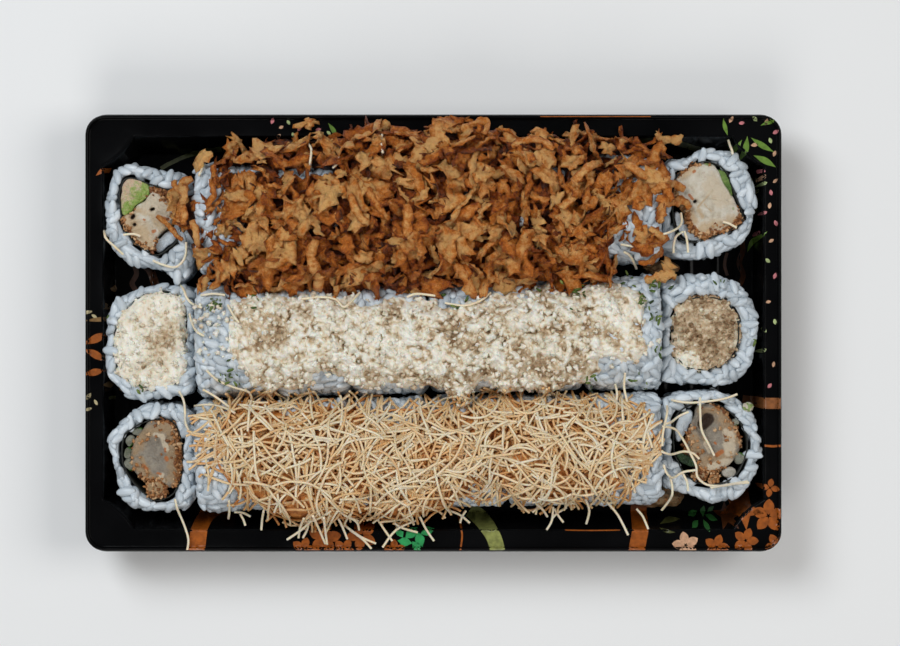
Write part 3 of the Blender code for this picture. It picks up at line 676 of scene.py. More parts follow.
printPlan = {
    "liftOff": 0.05,
    "edgeMargin": 0.9,
    "meshStep": 1.0,
    "petals": [
        # x, y, length, width, turn in degrees, colour
        (-49.5, 65.2, 1.3, 0.9, 70, "pink"), (-46.8, 63.3, 1.0, 0.8, 20, "peach"),
        (-44.6, 64.8, 1.1, 0.8, 120, "pale"),
        (-41.2, 62.9, 1.2, 0.9, 50, "pink"), (-38.0, 64.6, 1.0, 0.8, 90, "peach"),
        (-35.4, 62.6, 1.2, 0.8, 10, "pink"),
        (-43.2, 61.0, 1.0, 0.7, 100, "pale"), (-47.6, 60.6, 1.1, 0.8, 40, "peach"),
        (-32.2, 61.6, 1.0, 0.8, 140, "pale"),
        (91.5, 65.6, 1.4, 0.9, 60, "peach"), (94.8, 64.6, 1.2, 0.9, 10, "pink"), (98.8, 65.8, 1.3, 0.9, 140, "pale"),
        (102.4, 64.9, 1.3, 0.9, 80, "peach"), (105.2, 61.8, 1.3, 1.0, 30, "pink"),
        (103.6, 59.2, 1.2, 0.9, 110, "pale"),
        (98.8, 57.9, 1.6, 1.0, 10, "peach"), (101.2, 50.1, 1.4, 0.9, 150, "pink"),
        (104.9, 55.2, 1.3, 0.9, 70, "peach"),
        (101.5, 47.9, 1.4, 1.0, 50, "peach"), (99.6, 48.1, 1.0, 0.7, 120, "pale"),
        (101.7, 46.0, 1.4, 0.9, 20, "pale"),
        (100.6, 44.0, 1.1, 0.8, 60, "pale"), (103.8, 43.2, 1.2, 0.9, 100, "pink"),
        (99.8, 41.8, 1.0, 0.8, 130, "pale"),
        (105.1, 46.8, 1.2, 0.8, 40, "peach"), (103.4, 39.2, 1.3, 0.9, 80, "peach"),
        (101.8, 37.0, 1.2, 0.9, 20, "pink"),
        (99.8, 39.0, 1.0, 0.7, 90, "pale"), (105.3, 33.8, 1.3, 0.9, 110, "pink"), (100.7, 31.0, 1.2, 0.9, 60, "pink"),
        (103.9, 28.4, 1.2, 0.8, 30, "peach"), (102.8, 22.3, 1.2, 0.9, 140, "pale"),
        (105.0, 17.6, 1.3, 0.9, 70, "pink"),
        (103.0, 9.6, 1.1, 0.8, 10, "peach"), (105.0, 3.5, 1.2, 0.9, 100, "pale"), (101.9, 1.0, 1.2, 0.8, 120, "pale"),
        (101.5, -5.4, 1.4, 0.9, 30, "pale"), (104.6, -9.6, 1.2, 0.8, 80, "peach"),
        (103.4, -16.2, 1.2, 0.9, 50, "pink"),
        (-100.2, 13.9, 0.9, 1.9, 0, "straw"), (-101.4, 8.3, 0.8, 1.7, 10, "straw"),
        (-98.9, 6.8, 0.8, 1.0, 80, "straw"),
        (-106.2, 6.4, 1.8, 0.9, 15, "cream"), (-104.3, 5.2, 1.3, 0.8, 150, "cream"),
        (-105.9, -19.4, 1.5, 0.9, 60, "cream"),
        (-103.8, -21.3, 1.3, 0.8, 120, "cream"), (-106.0, -23.4, 1.4, 0.8, 20, "cream"),
        (-101.0, -16.1, 0.8, 1.6, 10, "straw"),
        (-98.2, -17.6, 1.6, 1.1, 130, "straw"), (-100.5, -20.2, 1.0, 1.2, 40, "olive"),
        (-101.0, -7.3, 1.0, 1.1, 70, "straw"),
        (-93.8, -52.4, 0.9, 0.7, 30, "straw"),
    ],
    "leaves": [
        # x, y, length, width, turn, bend, colour
        (93.2, 56.2, 7.5, 1.8, 62, 0.15, "green"), (95.9, 56.9, 7.5, 1.9, 80, -0.1, "green"),
        (101.2, 57.9, 8.5, 1.8, 148, 0.1, "green"), (101.9, 52.8, 8.0, 2.0, -28, 0.12, "green"),
        (103.6, 64.9, 6.5, 1.5, 20, 0.1, "green"), (100.6, 28.2, 7.5, 1.5, 55, 0.35, "green"),
        (89.8, 63.4, 5.5, 1.3, 105, 0.1, "green"), (-31.0, 62.2, 5.5, 1.4, -60, 0.2, "green"),
        (-15.3, 62.9, 5.5, 1.1, 18, 0.5, "green"), (-12.9, 61.4, 4.0, 1.0, 150, 0.3, "green"),
        (-103.5, -1.8, 9.0, 2.6, 24, 0.1, "orange"), (-104.0, -6.8, 8.0, 2.4, -30, 0.1, "orange"),
        (-104.2, -12.2, 7.0, 2.2, 12, 0.1, "orange"), (-102.2, 4.1, 11.0, 1.4, 4, 0.05, "straw"),
        (-101.8, 49.8, 5.0, 1.4, 35, 0.1, "orange"),
        (81.2, -56.5, 3.6, 1.8, 20, 0.0, "leaf"), (84.5, -55.8, 3.4, 1.7, 75, 0.0, "leaf"),
        (86.6, -57.6, 3.6, 1.7, 160, 0.0, "leaf"), (84.4, -59.6, 3.4, 1.6, -70, 0.0, "leaf"),
        (81.0, -59.2, 3.2, 1.5, 215, 0.0, "leaf"), (87.0, -55.3, 2.8, 1.4, 40, 0.0, "leaf"),
        (-42.0, -55.8, 3.2, 1.5, 70, 0.0, "leaf"), (-44.4, -57.2, 3.0, 1.4, 200, 0.0, "leaf"),
        (-38.6, -56.0, 3.4, 1.4, 30, 0.0, "leaf"),
        (-6.8, -61.5, 5.0, 3.0, 40, 0.0, "mint"), (-4.2, -63.4, 5.0, 3.0, 110, 0.0, "mint"),
        (-8.8, -64.2, 4.6, 2.8, 170, 0.0, "mint"), (-10.4, -61.2, 4.0, 2.4, 120, 0.0, "mint"),
        (-1.9, -61.0, 4.6, 2.6, 20, 0.0, "mint"), (-5.2, -65.6, 4.2, 2.4, -50, 0.0, "mint"),
        (73.5, -58.6, 7.0, 1.5, 10, 0.3, "olive"), (72.0, -60.6, 5.0, 1.0, -15, -0.3, "olive"),
    ],
    "flowers": [
        # x, y, reach, petals, turn, colour
        (-33.5, -63.0, 5.4, 5, 10, "orange"), (-22.0, -62.2, 5.0, 5, 40, "orange"),
        (-40.0, -66.5, 4.0, 5, 0, "orange"),
        (-27.5, -66.8, 4.0, 5, 60, "orange"), (-12.0, -66.8, 3.6, 5, 20, "orange"),
        (103.0, -56.2, 5.4, 5, 15, "orange"), (105.6, -65.2, 4.0, 5, 50, "orange"),
        (103.5, -47.6, 3.0, 4, 80, "orange"), (77.6, -65.2, 4.4, 5, 30, "peach"), (87.0, -65.8, 4.2, 5, 0, "orange"),
        (96.0, -63.8, 4.2, 5, 70, "orange"),
    ],
    "stars": [
        # pointed leaves: x, y, reach, points, turn, colour
        (95.6, -54.2, 6.4, 5, 60, "orange"), (91.4, -57.0, 4.2, 5, 20, "brown"),
    ],
    "bands": [
        # points, width, colour
        ([(-72.8, -67.4), (-72.3, -62), (-71.3, -57.5), (-68.5, -54.8), (-62.5, -53.2)], 5.2, "orange"),
        ([(62.3, -67.4), (63.4, -62), (64.2, -57), (64.9, -50.5)], 5.0, "orange"),
        ([(19.8, -67.0), (18.4, -62.5), (15.5, -58.5), (11.5, -55.4)], 4.6, "lime"),
        ([(8.2, -67.2), (8.8, -62), (7.6, -57), (5.0, -54.2)], 0.55, "orange"),
        ([(-85.8, 51.6), (-82.6, 53.4), (-75.5, 56.2), (-63.5, 57.4), (-54, 55.6)], 1.3, "olive"),
        ([(61.8, 59.2), (69.8, 59.8), (77.0, 58.6), (84.2, 57.0)], 1.3, "olive"),
        ([(32.8, 66.5), (50, 66.5), (66.7, 66.5)], 0.3, "orange"),
        ([(40.5, -60.6), (49, -60.7), (57.4, -60.6)], 0.3, "orange"),
        ([(96.9, -21.2), (99.5, -21.5), (103, -21.6), (107.4, -21.6)], 3.4, "tan"),
        ([(101.8, -34.6), (104.5, -34.8), (107.3, -34.5)], 0.7, "orange"),
        ([(-94.2, 21.5), (-93.4, 18.5), (-94.8, 15.6), (-93.5, 13.2)], 1.6, "brown"),
        ([(-91.5, 21.8), (-89, 19.5), (-87.5, 15.0)], 2.6, "brown"),
        ([(96.5, 30.5), (97.1, 26), (96.0, 22), (97.2, 18), (95.8, 14.6)], 1.7, "brown"),
        ([(92.2, 25.2), (91.4, 21.5), (92.3, 18.0)], 1.0, "brown"),
    ],
    "colours": {
        "pink": (0.60, 0.20, 0.22), "peach": (0.62, 0.36, 0.22), "pale": (0.42, 0.50, 0.22),
        "cream": (0.50, 0.42, 0.24),
        "straw": (0.22, 0.12, 0.04), "green": (0.13, 0.24, 0.03), "leaf": (0.03, 0.14, 0.03),
        "mint": (0.03, 0.34, 0.10),
        "olive": (0.07, 0.075, 0.02), "orange": (0.34, 0.085, 0.008), "tan": (0.26, 0.09, 0.025),
        "lime": (0.26, 0.28, 0.08),
        "brown": (0.10, 0.028, 0.006),
    },
}


def petalShape(length, width, bend, pointed):
    points = []
    for side in (1, -1):
        for t in np.linspace(0, 1, 9)[:-1] if side == 1 else np.linspace(1, 0, 9)[:-1]:
            spread = math.sin(math.pi * t) ** (1.3 if pointed else 0.75)
            points.append(((t - 0.5) * length, side * width / 2 * spread + bend * length * (0.25 - (t - 0.5) ** 2)))
    return points


def buildPrint():
    surface = BVHTree.FromObject(trayForm, bpy.context.evaluated_depsgraph_get())
    shapes = []

    def place(points, x, y, turn, colour):
        c, s = math.cos(math.radians(turn)), math.sin(math.radians(turn))
        shapes.append(([(x + px * c - py * s, y + px * s + py * c) for px, py in points], colour))

    for x, y, length, width, turn, colour in printPlan["petals"]:
        place(petalShape(1.5 * length, 1.2 * width, 0.0, False), x, y, turn, colour)
    for x, y, length, width, turn, bend, colour in printPlan["leaves"]:
        place(petalShape(length, width, bend, True), x, y, turn, colour)
    for x, y, reach, count, turn, colour in printPlan["flowers"]:
        for k in range(count):
            angle = turn + 360 * k / count
            c, s = math.cos(math.radians(angle)), math.sin(math.radians(angle))
            place(
                petalShape(0.9 * reach, 0.62 * reach, 0.0, False), x + c * reach * 0.52, y + s * reach * 0.52, angle,
                colour,
            )
    for x, y, reach, count, turn, colour in printPlan["stars"]:
        tips = []
        for k in range(2 * count):
            angle = math.radians(turn + 180 * k / count)
            tips.append(
                (
                    reach * (1.0 if k % 2 == 0 else 0.42) * math.cos(angle),
                    reach * (1.0 if k % 2 == 0 else 0.42) * math.sin(angle),
                )
            )
        place(tips, x, y, 0, colour)
    for line, width, colour in printPlan["bands"]:
        dense = openCurve(line, 0.125)
        along = np.gradient(dense, axis=0)
        along /= np.linalg.norm(along, axis=1)[:, None]
        beside = np.column_stack([-along[:, 1], along[:, 0]]) * width / 2
        left, right = dense + beside, dense - beside
        for i in range(len(dense) - 1):
            shapes.append(([left[i], left[i + 1], right[i + 1], right[i]], colour))
    shape = bmesh.new()
    tint = shape.verts.layers.float_color.new("ink")
    for points, colour in shapes:
        ring = [shape.verts.new((p[0] * mm, p[1] * mm, 0)) for p in points]
        for vertex in ring:
            vertex[tint] = (*printPlan["colours"][colour], 1)
        face = shape.faces.new(ring)
        face.normal_update()
        if face.normal.z < 0:
            face.normal_flip()
    bmesh.ops.triangulate(shape, faces=shape.faces)
    for _ in range(3):
        long = [e for e in shape.edges if e.calc_length() > printPlan["meshStep"] * mm]
        if long:
            bmesh.ops.subdivide_edges(shape, edges=long, cuts=1)
            bmesh.ops.triangulate(shape, faces=shape.faces)
    for way, reach in ((Vector((1, 0, 0)), tray["outer"][0]), (Vector((0, 1, 0)), tray["outer"][1])):
        for side in (1, -1):  # the print ends on the rim's top, before its rounded edge
            everything = shape.verts[:] + shape.edges[:] + shape.faces[:]
            bmesh.ops.bisect_plane(
                shape, geom=everything, plane_co=way * side * (reach - printPlan["edgeMargin"]) * mm,
                plane_no=way * side, clear_outer=True,
            )
    missed = []
    for vertex in shape.verts:
        hit, normal, *_ = surface.ray_cast(Vector((vertex.co.x, vertex.co.y, 0.1)), Vector((0, 0, -1)))
        if hit is None:
            missed.append(vertex)
        else:
            vertex.co = hit + (normal + Vector((0, 0, 0.6))) * printPlan["liftOff"] * mm
    bmesh.ops.delete(shape, geom=missed, context="VERTS")
    printed = shapeObject("tray_print", shape)
    material, tree, shader = newMaterial("tray_ink", Roughness=0.3)
    ink = addNode(tree, "ShaderNodeAttribute", attribute_name="ink").outputs["Color"]
    worn = ramp(tree, noiseValue(tree, 700, 3), [(0.3, (0.62,) * 3), (0.65, (1.1,) * 3)])
    tree.links.new(mixColour(tree, 1.0, ink, worn, "MULTIPLY"), shader.inputs["Base Color"])
    printed.data.materials.append(material)
    finishPiece(printed, "tray")


buildPrint()
print("print")

# Rice

rice = {
    "grain": (2.95, 1.35, 1.15),
    "spacing": 2.25,
    "smallest": 0.86,
    "largest": 1.14,
    "tilt": 0.34,
    "coreInset": 1.0,
    "colours": [(0.2, (0.44, 0.49, 0.53)), (0.5, (0.57, 0.63, 0.68)), (0.8, (0.70, 0.755, 0.80))],
    "roughness": 0.36,
    "softness": 0.25,
}


def riceMaterial():
    material, tree, shader = newMaterial(
        "rice_grains", Roughness=rice["roughness"], Subsurface_Weight=rice["softness"]
    )
    shader.inputs["Subsurface Radius"].default_value = (1.0, 0.9, 0.8)
    shader.inputs["Subsurface Scale"].default_value = 0.0012
    tone = mathValue(
        tree, "ADD", mathValue(tree, "MULTIPLY", attributeValue(tree, "tone"), 0.5),
        mathValue(tree, "MULTIPLY", noiseValue(tree, 260, 3), 0.55),
    )
    tree.links.new(ramp(tree, tone, rice["colours"]), shader.inputs["Base Color"])
    bump(tree, shader, noiseValue(tree, 1400, 3), 0.25, 0.0003)
    return material


def grainVariants():
    grains = []
    for number, bend in enumerate((0.0, 0.09, -0.06)):
        shape = bmesh.new()
        bmesh.ops.create_uvsphere(shape, u_segments=8, v_segments=6, radius=1.0)
        for vertex in shape.verts:
            x, y, z = vertex.co.z, vertex.co.x, vertex.co.y  # poles at the grain's tips
            swell = 1 + 0.10 * noise.noise(Vector((x * 1.4, y * 1.4, number * 5.0)))
            vertex.co = (
                Vector(
                    (
                        rice["grain"][0] * x * (1 - 0.06 * x), rice["grain"][1] * y * swell + bend * 6 * x * x,
                        rice["grain"][2] * z * swell,
                    )
                )
                * mm
            )
        grains.append(shapeObject(f"grain_{number}", shape))
    return grains


riceLook = riceMaterial()
grains = grainVariants()
grainGroup = scatterTree("riceScatter", variantCollection("grainKinds", grains), riceLook)
grainValues = {
    "Spacing": rice["spacing"] * mm,
    "Density": 900000.0,
    "Smallest": rice["smallest"],
    "Largest": rice["largest"],
    "Tilt": rice["tilt"],
    "Deepest": -0.25 * mm,
    "Highest": 0.25 * mm,
}


def riceCore(name, loops, cover):
    count = len(loops[0])
    vertices = np.vstack(loops)
    shares = np.repeat(np.array(cover, float), count)
    low = vertices[:, 2] < 5.5 * mm
    shares[low] = 0.0
    return meshObject(
        name, vertices, loftFaces(len(loops), count), riceLook,
        attributes={"cover": shares, "tone": np.full(len(vertices), 0.15)},
    )


def buildStandingRow(rowName, row, seed):  # the six standing slices of a row: cores first, then grains over them
    cores = []
    inset = rice["coreInset"]
    tilt = math.atan(row["slope"])
    for i in range(6):
        start = foodPlan["rowStart"] + i * foodPlan["sliceLength"] + 0.3 + inset
        end = start + foodPlan["sliceLength"] - 0.6 - 2 * inset
        loops, cover = [], []
        isFirst, isLast = i == 0, i == 5
        stations = [(start, -6.0), (start, -3.0), (start + 0.1, -0.9), (start + 1.0, 0.0)]
        stations += [(start + (end - start) * k / 4, 0.0) for k in (1, 2, 3)]
        stations += [(end - 1.0, 0.0), (end - 0.1, -0.9), (end, -3.0), (end, -6.0)]
        for k, (x, grow) in enumerate(stations):
            points = []
            for j in range(48):
                turn = 2 * math.pi * j / 48
                c, s = math.cos(turn), math.sin(turn)
                radius = (
                    abs(c) ** foodPlan["squareness"] + abs(s) ** foodPlan["squareness"]
                ) ** (-1 / foodPlan["squareness"])
                lump = 0.55 * noise.noise(Vector((1.9 * c + x * 0.13, 1.9 * s, seed + i * 3.3)))
                across = (row["half"] - inset + grow + lump - 0.2) * radius * c
                upward = (foodPlan["rollHeight"] / 2 - inset + grow + lump - 0.2) * radius * s
                middleX = x + 1.5
                points.append((
                    -1.5 + middleX * math.cos(tilt) - across * math.sin(tilt),
                    row["y"] + middleX * math.sin(tilt) + across * math.cos(tilt),
                    foodPlan["base"] + foodPlan["rollHeight"] / 2 + upward,
                ))
            loops.append(np.array(points) * mm)
            outside = (k < 3 and isFirst) or (k > len(stations) - 4 and isLast)
            cover.append(
                1.0 if 3 <= k <= len(stations) - 4 or outside else (0.7 if k in (2, len(stations) - 3) else 0.0)
            )
        cores.append(riceCore(f"slice_core_{rowName}_{i + 1}", loops, cover))
        finishPiece(cores[-1], "rice", f"slice_{rowName}_{i + 1}")
    parts = []
    for i, core in enumerate(cores):
        parts.append(scatter(f"grains_{rowName}_{i + 1}", core, grainGroup, {**grainValues, "Seed": seed * 10 + i}))
    joined = joinObjects(f"rice_grains_{rowName}", parts)
    finishPiece(joined, "rice")


def joinObjects(name, parts):  # joins plain meshes that share one material, with their tone attribute and their attribute for charring and painted shade
    offset, vertices, faces = 0, [], []
    layers = {"tone": [], "charAndShade": []}
    for part in parts:
        mesh = part.data
        co = np.empty(len(mesh.vertices) * 3, np.float32)
        mesh.vertices.foreach_get("co", co)
        vertices.append(co.reshape(-1, 3))
        for key, values in layers.items():
            value = np.zeros(len(mesh.vertices), np.float32)
            if key in mesh.attributes:
                mesh.attributes[key].data.foreach_get("value", value)
            values.append(value)
        faces += [[v + offset for v in polygon.vertices] for polygon in mesh.polygons]
        offset += len(mesh.vertices)
    joined = bpy.data.meshes.new(name)
    joined.from_pydata(np.vstack(vertices).tolist(), [], faces)
    for key, values in layers.items():
        joined.attributes.new(key, "FLOAT", "POINT").data.foreach_set("value", np.concatenate(values))
    joined.shade_smooth()
    joined.materials.append(parts[0].data.materials[0])
    made = bpy.data.objects.new(name, joined)
    scene.collection.objects.link(made)
    dropObjects(*parts)
    return made


for number, (rowName, row) in enumerate(foodPlan["rows"].items()):
    buildStandingRow(rowName, row, 3 + number)
print("standing slices")

nori = {
    "thickness": 0.4, "wave": 0.3, "colour": (0.003, 0.004, 0.003), "sheen": (0.012, 0.016, 0.011), "roughness": 0.6
}


def noriMaterial():
    material, tree, shader = newMaterial("nori_sheet", Roughness=nori["roughness"])
    tree.links.new(
        ramp(tree, noiseValue(tree, 900, 4), [(0.35, nori["colour"]), (0.8, nori["sheen"])]),
        shader.inputs["Base Color"],
    )
    bump(tree, shader, noiseValue(tree, 1200, 3), 0.4, 0.0004)
    return material


noriLook = noriMaterial()


def buildEndSlice(place, end, seed):
    face, base = foodPlan["cutFace"], foodPlan["base"]
    around = 72
    outer = smoothLoop(end["rice"], around, wobble=0.7, seed=seed)
    wrap = smoothLoop(end["nori"], around, wobble=nori["wave"], seed=seed + 9)
    hole = offsetLoop(wrap, 1.0 * mm)
    core = offsetLoop(outer, -rice["coreInset"] * mm)
    middle = core * 0.5 + hole * 0.5
    loops = [
        lift(hole, base * mm),
        lift(core, base * mm),
        lift(core, 6 * mm),
        lift(core, 12 * mm),
        lift(core, 18 * mm),
        lift(core, (face - 1.8) * mm),
        lift(offsetLoop(core, -0.6 * mm), (face - 1.0) * mm),
        lift(middle, (face - 0.9) * mm),
        lift(hole, (face - 1.0) * mm),
        lift(hole, (face - 6) * mm),
    ]
    vertices = np.vstack(loops)
    shares = np.repeat(np.array([0, 0, 1, 1, 1, 1, 1, 1, 0.9, 0.0]), around)
    body = meshObject(
        f"rice_core_{place}", vertices, loftFaces(len(loops), around, closed=True), riceLook,
        attributes={"cover": shares, "tone": np.full(len(vertices), 0.15)},
    )
    finishPiece(body, "rice", f"rice_{place}")
    thin = offsetLoop(wrap, -nori["thickness"] * mm)
    crest = np.array([0.35 * noise.noise(Vector((p[0] / mm * 0.4, p[1] / mm * 0.4, seed))) for p in wrap]) * mm
    sheet = [
        lift(wrap, base * mm), lift(wrap, 12 * mm), lift(wrap, (face - 0.35) * mm + crest),
        lift(thin, (face - 0.4) * mm + crest), lift(thin, 12 * mm), lift(thin, base * mm),
    ]
    wrapped = meshObject(f"nori_wrap_{place}", np.vstack(sheet), loftFaces(len(sheet), around, closed=True), noriLook)
    finishPiece(wrapped, "nori", f"nori_{place}")
    return scatter(f"grains_{place}", body, grainGroup, {**grainValues, "Seed": seed * 7})


endGrains = [buildEndSlice(place, end, 40 + number) for number, (place, end) in enumerate(endSlices.items())]
finishPiece(joinObjects("rice_grains_left_ends", [endGrains[i] for i in (0, 2, 4)]), "rice")
finishPiece(joinObjects("rice_grains_right_ends", [endGrains[i] for i in (1, 3, 5)]), "rice")
print("end slices")

# Fillings in the end slices: each is lofted from its outline to its middle, with a crust where it has one

fillings = {
    "cutlet_onion_left": {
        "corners": [
            (-86, 44.4), (-82.8, 43.5), (-80, 41.4), (-78.1, 38.6), (-77.8, 36.6), (-79.4, 35.2), (-81, 33),
            (-83.4, 30.8), (-85.4, 28.6), (-85.9, 25.4), (-88.6, 26.7), (-91.1, 28.7), (-93.5, 32), (-94.8, 35.4),
            (-92, 36.4), (-90.6, 38.4), (-88, 40.4), (-86.4, 42.6),
        ],
        "look": "chicken", "rise": 0.5, "lump": 0.5, "crust": [(60, 34, 3.2), (215, 60, 1.3), (262, 26, 1.2)],
        "drop": 0.0,
        "marks": [
            # kind, from x, y, to x, y, half width
            ("tan", -93.5, 35.0, -89.0, 29.5, 3.6), ("tan", -91.5, 38.2, -84.5, 35.6, 1.0),
            ("tan", -88.5, 37.4, -82.0, 34.4, 1.3),
            ("tan", -84.0, 34.6, -82.0, 32.0, 1.8), ("tan", -88.0, 30.0, -86.4, 26.4, 1.4),
            ("pale", -86.0, 39.5, -80.5, 38.0, 3.0),
            ("dark", -92.1, 35.4, -91.8, 35.8, 0.5), ("dark", -91.4, 33.2, -91.4, 33.2, 0.45),
            ("dark", -86.2, 37.8, -85.6, 38.0, 0.35),
            ("fleck", -85.6, 31.0, -85.2, 31.2, 0.5), ("fleck", -83.0, 35.4, -81.0, 34.8, 0.5),
            ("fleck", -88.6, 34.8, -88.2, 34.6, 0.3),
        ],
    },
    "cutlet_onion_right": {
        "corners": [
            (73.9, 45.4), (75.6, 48.1), (78.3, 50.5), (81.2, 51.6), (84.3, 51.7), (86.6, 50.1), (88.5, 46.4),
            (90.8, 42.4), (92.7, 38.9), (94, 36.4), (93.9, 34.9), (91.7, 32.9), (88.7, 31.4), (85, 29.9),
            (82.4, 28.9), (79.5, 31.2), (77.9, 34.6), (76.9, 38), (74.6, 41),
        ],
        "look": "chicken", "rise": 0.7, "lump": 0.35,
        "crust": [(250, 62, 2.6), (318, 34, 1.9), (178, 36, 1.8), (118, 30, 0.7)], "drop": 0.0,
        "marks": [
            ("tan", 85.2, 43.6, 80.8, 38.4, 0.28), ("tan", 85.2, 41.4, 89.8, 39.9, 0.28),
            ("tan", 82.8, 39.4, 85.0, 37.2, 0.24),
            ("dark", 79.9, 40.2, 80.2, 40.4, 0.35), ("tan", 81.2, 37.4, 82.2, 35.6, 0.75),
            ("tan", 78.4, 37.0, 80.0, 34.0, 1.2),
            ("tan", 82.0, 32.0, 92.0, 34.4, 1.7), ("tan", 76.0, 47.6, 80.0, 50.8, 1.1),
            ("pale", 85.0, 45.6, 88.6, 41.2, 2.6),
            ("fleck", 79.6, 49.3, 79.9, 49.5, 0.4), ("fleck", 78.2, 42.4, 79.2, 41.0, 0.4),
            ("green", 88.6, 47.0, 91.4, 42.4, 0.5),
            ("green", 83.5, 51.9, 84.6, 51.6, 0.6), ("green", 91.6, 38.0, 91.7, 38.4, 0.3),
        ],
    },
    "prawn_noodle_left": {
        "corners": [
            (-87.3, -27.9), (-84, -26.9), (-80.4, -27.6), (-78.4, -31), (-77.5, -36), (-77.5, -41), (-78.4, -45.4),
            (-80.7, -47), (-82.9, -45.1), (-86.4, -44.9), (-89.6, -43.8), (-91.6, -41), (-92.1, -37),
            (-91.3, -33.2), (-89.5, -30.8),
        ],
        "look": "prawn", "rise": 0.6, "lump": 0.45, "crust": [(-8, 66, 2.6), (75, 30, 1.0), (250, 30, 1.2)],
        "drop": 0.0,
        "marks": [
            ("coat", -91.0, -36.0, -88.5, -31.0, 1.7), ("coat", -88.5, -30.6, -81.0, -28.6, 1.9),
            ("coat", -80.0, -31.0, -79.4, -44.0, 1.9),
            ("coat", -90.6, -40.5, -88.0, -43.6, 1.4), ("coat", -87.0, -44.0, -82.0, -45.0, 1.2),
            ("coat", -89.4, -38.0, -86.6, -43.0, 0.7),
            ("fleck", -82.0, -35.4, -81.9, -36.2, 0.35), ("fleck", -81.6, -38.2, -81.4, -38.8, 0.5),
            ("fleck", -88.4, -40.4, -87.6, -41.6, 0.45),
            ("fleck", -84.2, -42.8, -83.4, -43.0, 0.35), ("pale", -83.0, -31.4, -81.4, -35.4, 0.8),
            ("pale", -83.2, -43.6, -83.0, -45.4, 0.8),
            ("pale", -85.0, -31.0, -83.0, -31.4, 0.6),
        ],
    },
    "prawn_noodle_right": {
        "corners": [
            (81.2, -22.2), (84.5, -22), (88.2, -23.4), (90.6, -26.2), (92.4, -29.3), (93.6, -33), (92.8, -36.4),
            (90.7, -39.6), (88.1, -41.2), (85, -42.3), (81.8, -41.5), (79.5, -38.6), (77.6, -36.1), (77.2, -32.8),
            (78.6, -29.6), (80, -26),
        ],
        "look": "prawn", "rise": 0.6, "lump": 0.45,
        "crust": [(60, 40, 0.9), (180, 42, 1.0), (262, 30, 1.0), (0, 30, 0.7)], "drop": 0.0,
        "marks": [
            ("dark", 82.6, -27.8, 84.0, -26.2, 1.5), ("coat", 88.6, -25.0, 92.0, -32.0, 2.4),
            ("pale", 90.2, -31.0, 90.6, -36.0, 1.5),
            ("coat", 79.5, -32.0, 80.6, -37.0, 1.7), ("coat", 82.5, -39.8, 90.5, -37.0, 1.9),
            ("pale", 85.0, -41.0, 90.8, -39.6, 1.3),
            ("coat", 81.6, -24.0, 87.0, -23.6, 1.1), ("fleck", 86.6, -37.2, 88.2, -36.2, 0.6),
            ("fleck", 86.0, -33.4, 86.4, -33.8, 0.3),
            ("coat", 82.4, -31.4, 84.0, -35.2, 0.6), ("pale", 83.2, -33.6, 84.4, -36.2, 0.6),
        ],
    },
    "lettuce_onion_left": {
        "corners": [
            (-95.4, 40.2), (-95.2, 44), (-93.9, 46.5), (-91.8, 47), (-88.7, 46), (-87, 44.9), (-87, 42.7),
            (-89, 40.9), (-91.6, 38.8), (-92.8, 37), (-94.7, 36.4),
        ],
        "look": "lettuce", "rise": 0.4, "lump": 0.6, "crust": [], "drop": 0.3,
    },
    "greens_onion_right": {
        "corners": [(87.4, 49.9), (89.3, 48.5), (90.4, 45.7), (91.6, 42), (91, 42.6), (89.3, 45.8), (87.9, 48.1)],
        "look": "greens", "rise": 0.1, "lump": 0.3, "crust": [], "drop": 0.7,
    },
    "leaf_noodle_right": {
        "corners": [
            (74.9, -36.9), (78, -37.8), (80.3, -39.4), (82.6, -39.7), (81.6, -40.6), (79, -40.6), (76.4, -39.5),
            (75.4, -38.4),
        ],
        "look": "darkLeaf", "rise": 0.2, "lump": 0.4, "crust": [], "drop": -0.3,
    },
    "inner_rice_onion_left": {
        "corners": [
            (-78.1, 34.6), (-79.2, 32.4), (-82.2, 30.2), (-84.4, 28.2), (-85.1, 26), (-84.2, 24.8), (-82.2, 26.2),
            (-79.8, 28.2), (-78.3, 30.8),
        ],
        "look": "rice", "rise": 0.2, "lump": 0.3, "crust": [], "drop": 2.4,
    },
    "inner_rice_onion_right": {
        "corners": [
            (74.4, 37), (76, 36), (76.9, 33.4), (78.8, 30.8), (81.4, 28.9), (79.8, 28.6), (77, 29.4), (75, 32.2),
            (74.3, 34.6),
        ],
        "look": "rice", "rise": 0.2, "lump": 0.3, "crust": [], "drop": 1.6,
    },
    "inner_rice_noodle_right": {
        "corners": [
            (75.8, -25.4), (78, -23.8), (79.4, -24.6), (79, -27), (77.6, -29.4), (76.2, -31.6), (75, -33), (74.4, -29)
        ],
        "look": "rice", "rise": 0.2, "lump": 0.3, "crust": [], "drop": 2.0,
    },
}

roundBits = {
    # name: middle, half sizes, look, drop below the cut face
    "cucumber_noodle_left_1": ((-90.3, -30.3), (1.4, 0.9), "cucumber", 1.6),
    "cucumber_noodle_left_2": ((-92.7, -33.0), (1.3, 1.7), "cucumber", 1.2),
    "cucumber_noodle_left_3": ((-93.3, -36.9), (1.05, 1.45), "cucumber", 1.0),
    "cucumber_noodle_left_4": ((-92.9, -40.3), (1.15, 1.55), "cucumber", 1.0),
    "crust_bit_noodle_left": ((-84.6, -47.7), (2.9, 2.4), "crumbed", -0.3),
    "cucumber_noodle_right_1": ((92.4, -27.6), (1.0, 1.1), "cucumber", 0.8),
    "cucumber_noodle_right_2": ((93.5, -38.1), (1.3, 1.6), "cucumber", 0.8),
    "crust_bit_noodle_right_1": ((81.4, -43.5), (2.2, 1.6), "crumbed", 0.2),
    "crust_bit_noodle_right_2": ((85.8, -44.2), (1.8, 1.3), "crumbed", 1.0),
    "crust_bit_noodle_right_3": ((90.2, -42.6), (1.9, 1.4), "paleBit", 0.6),
}

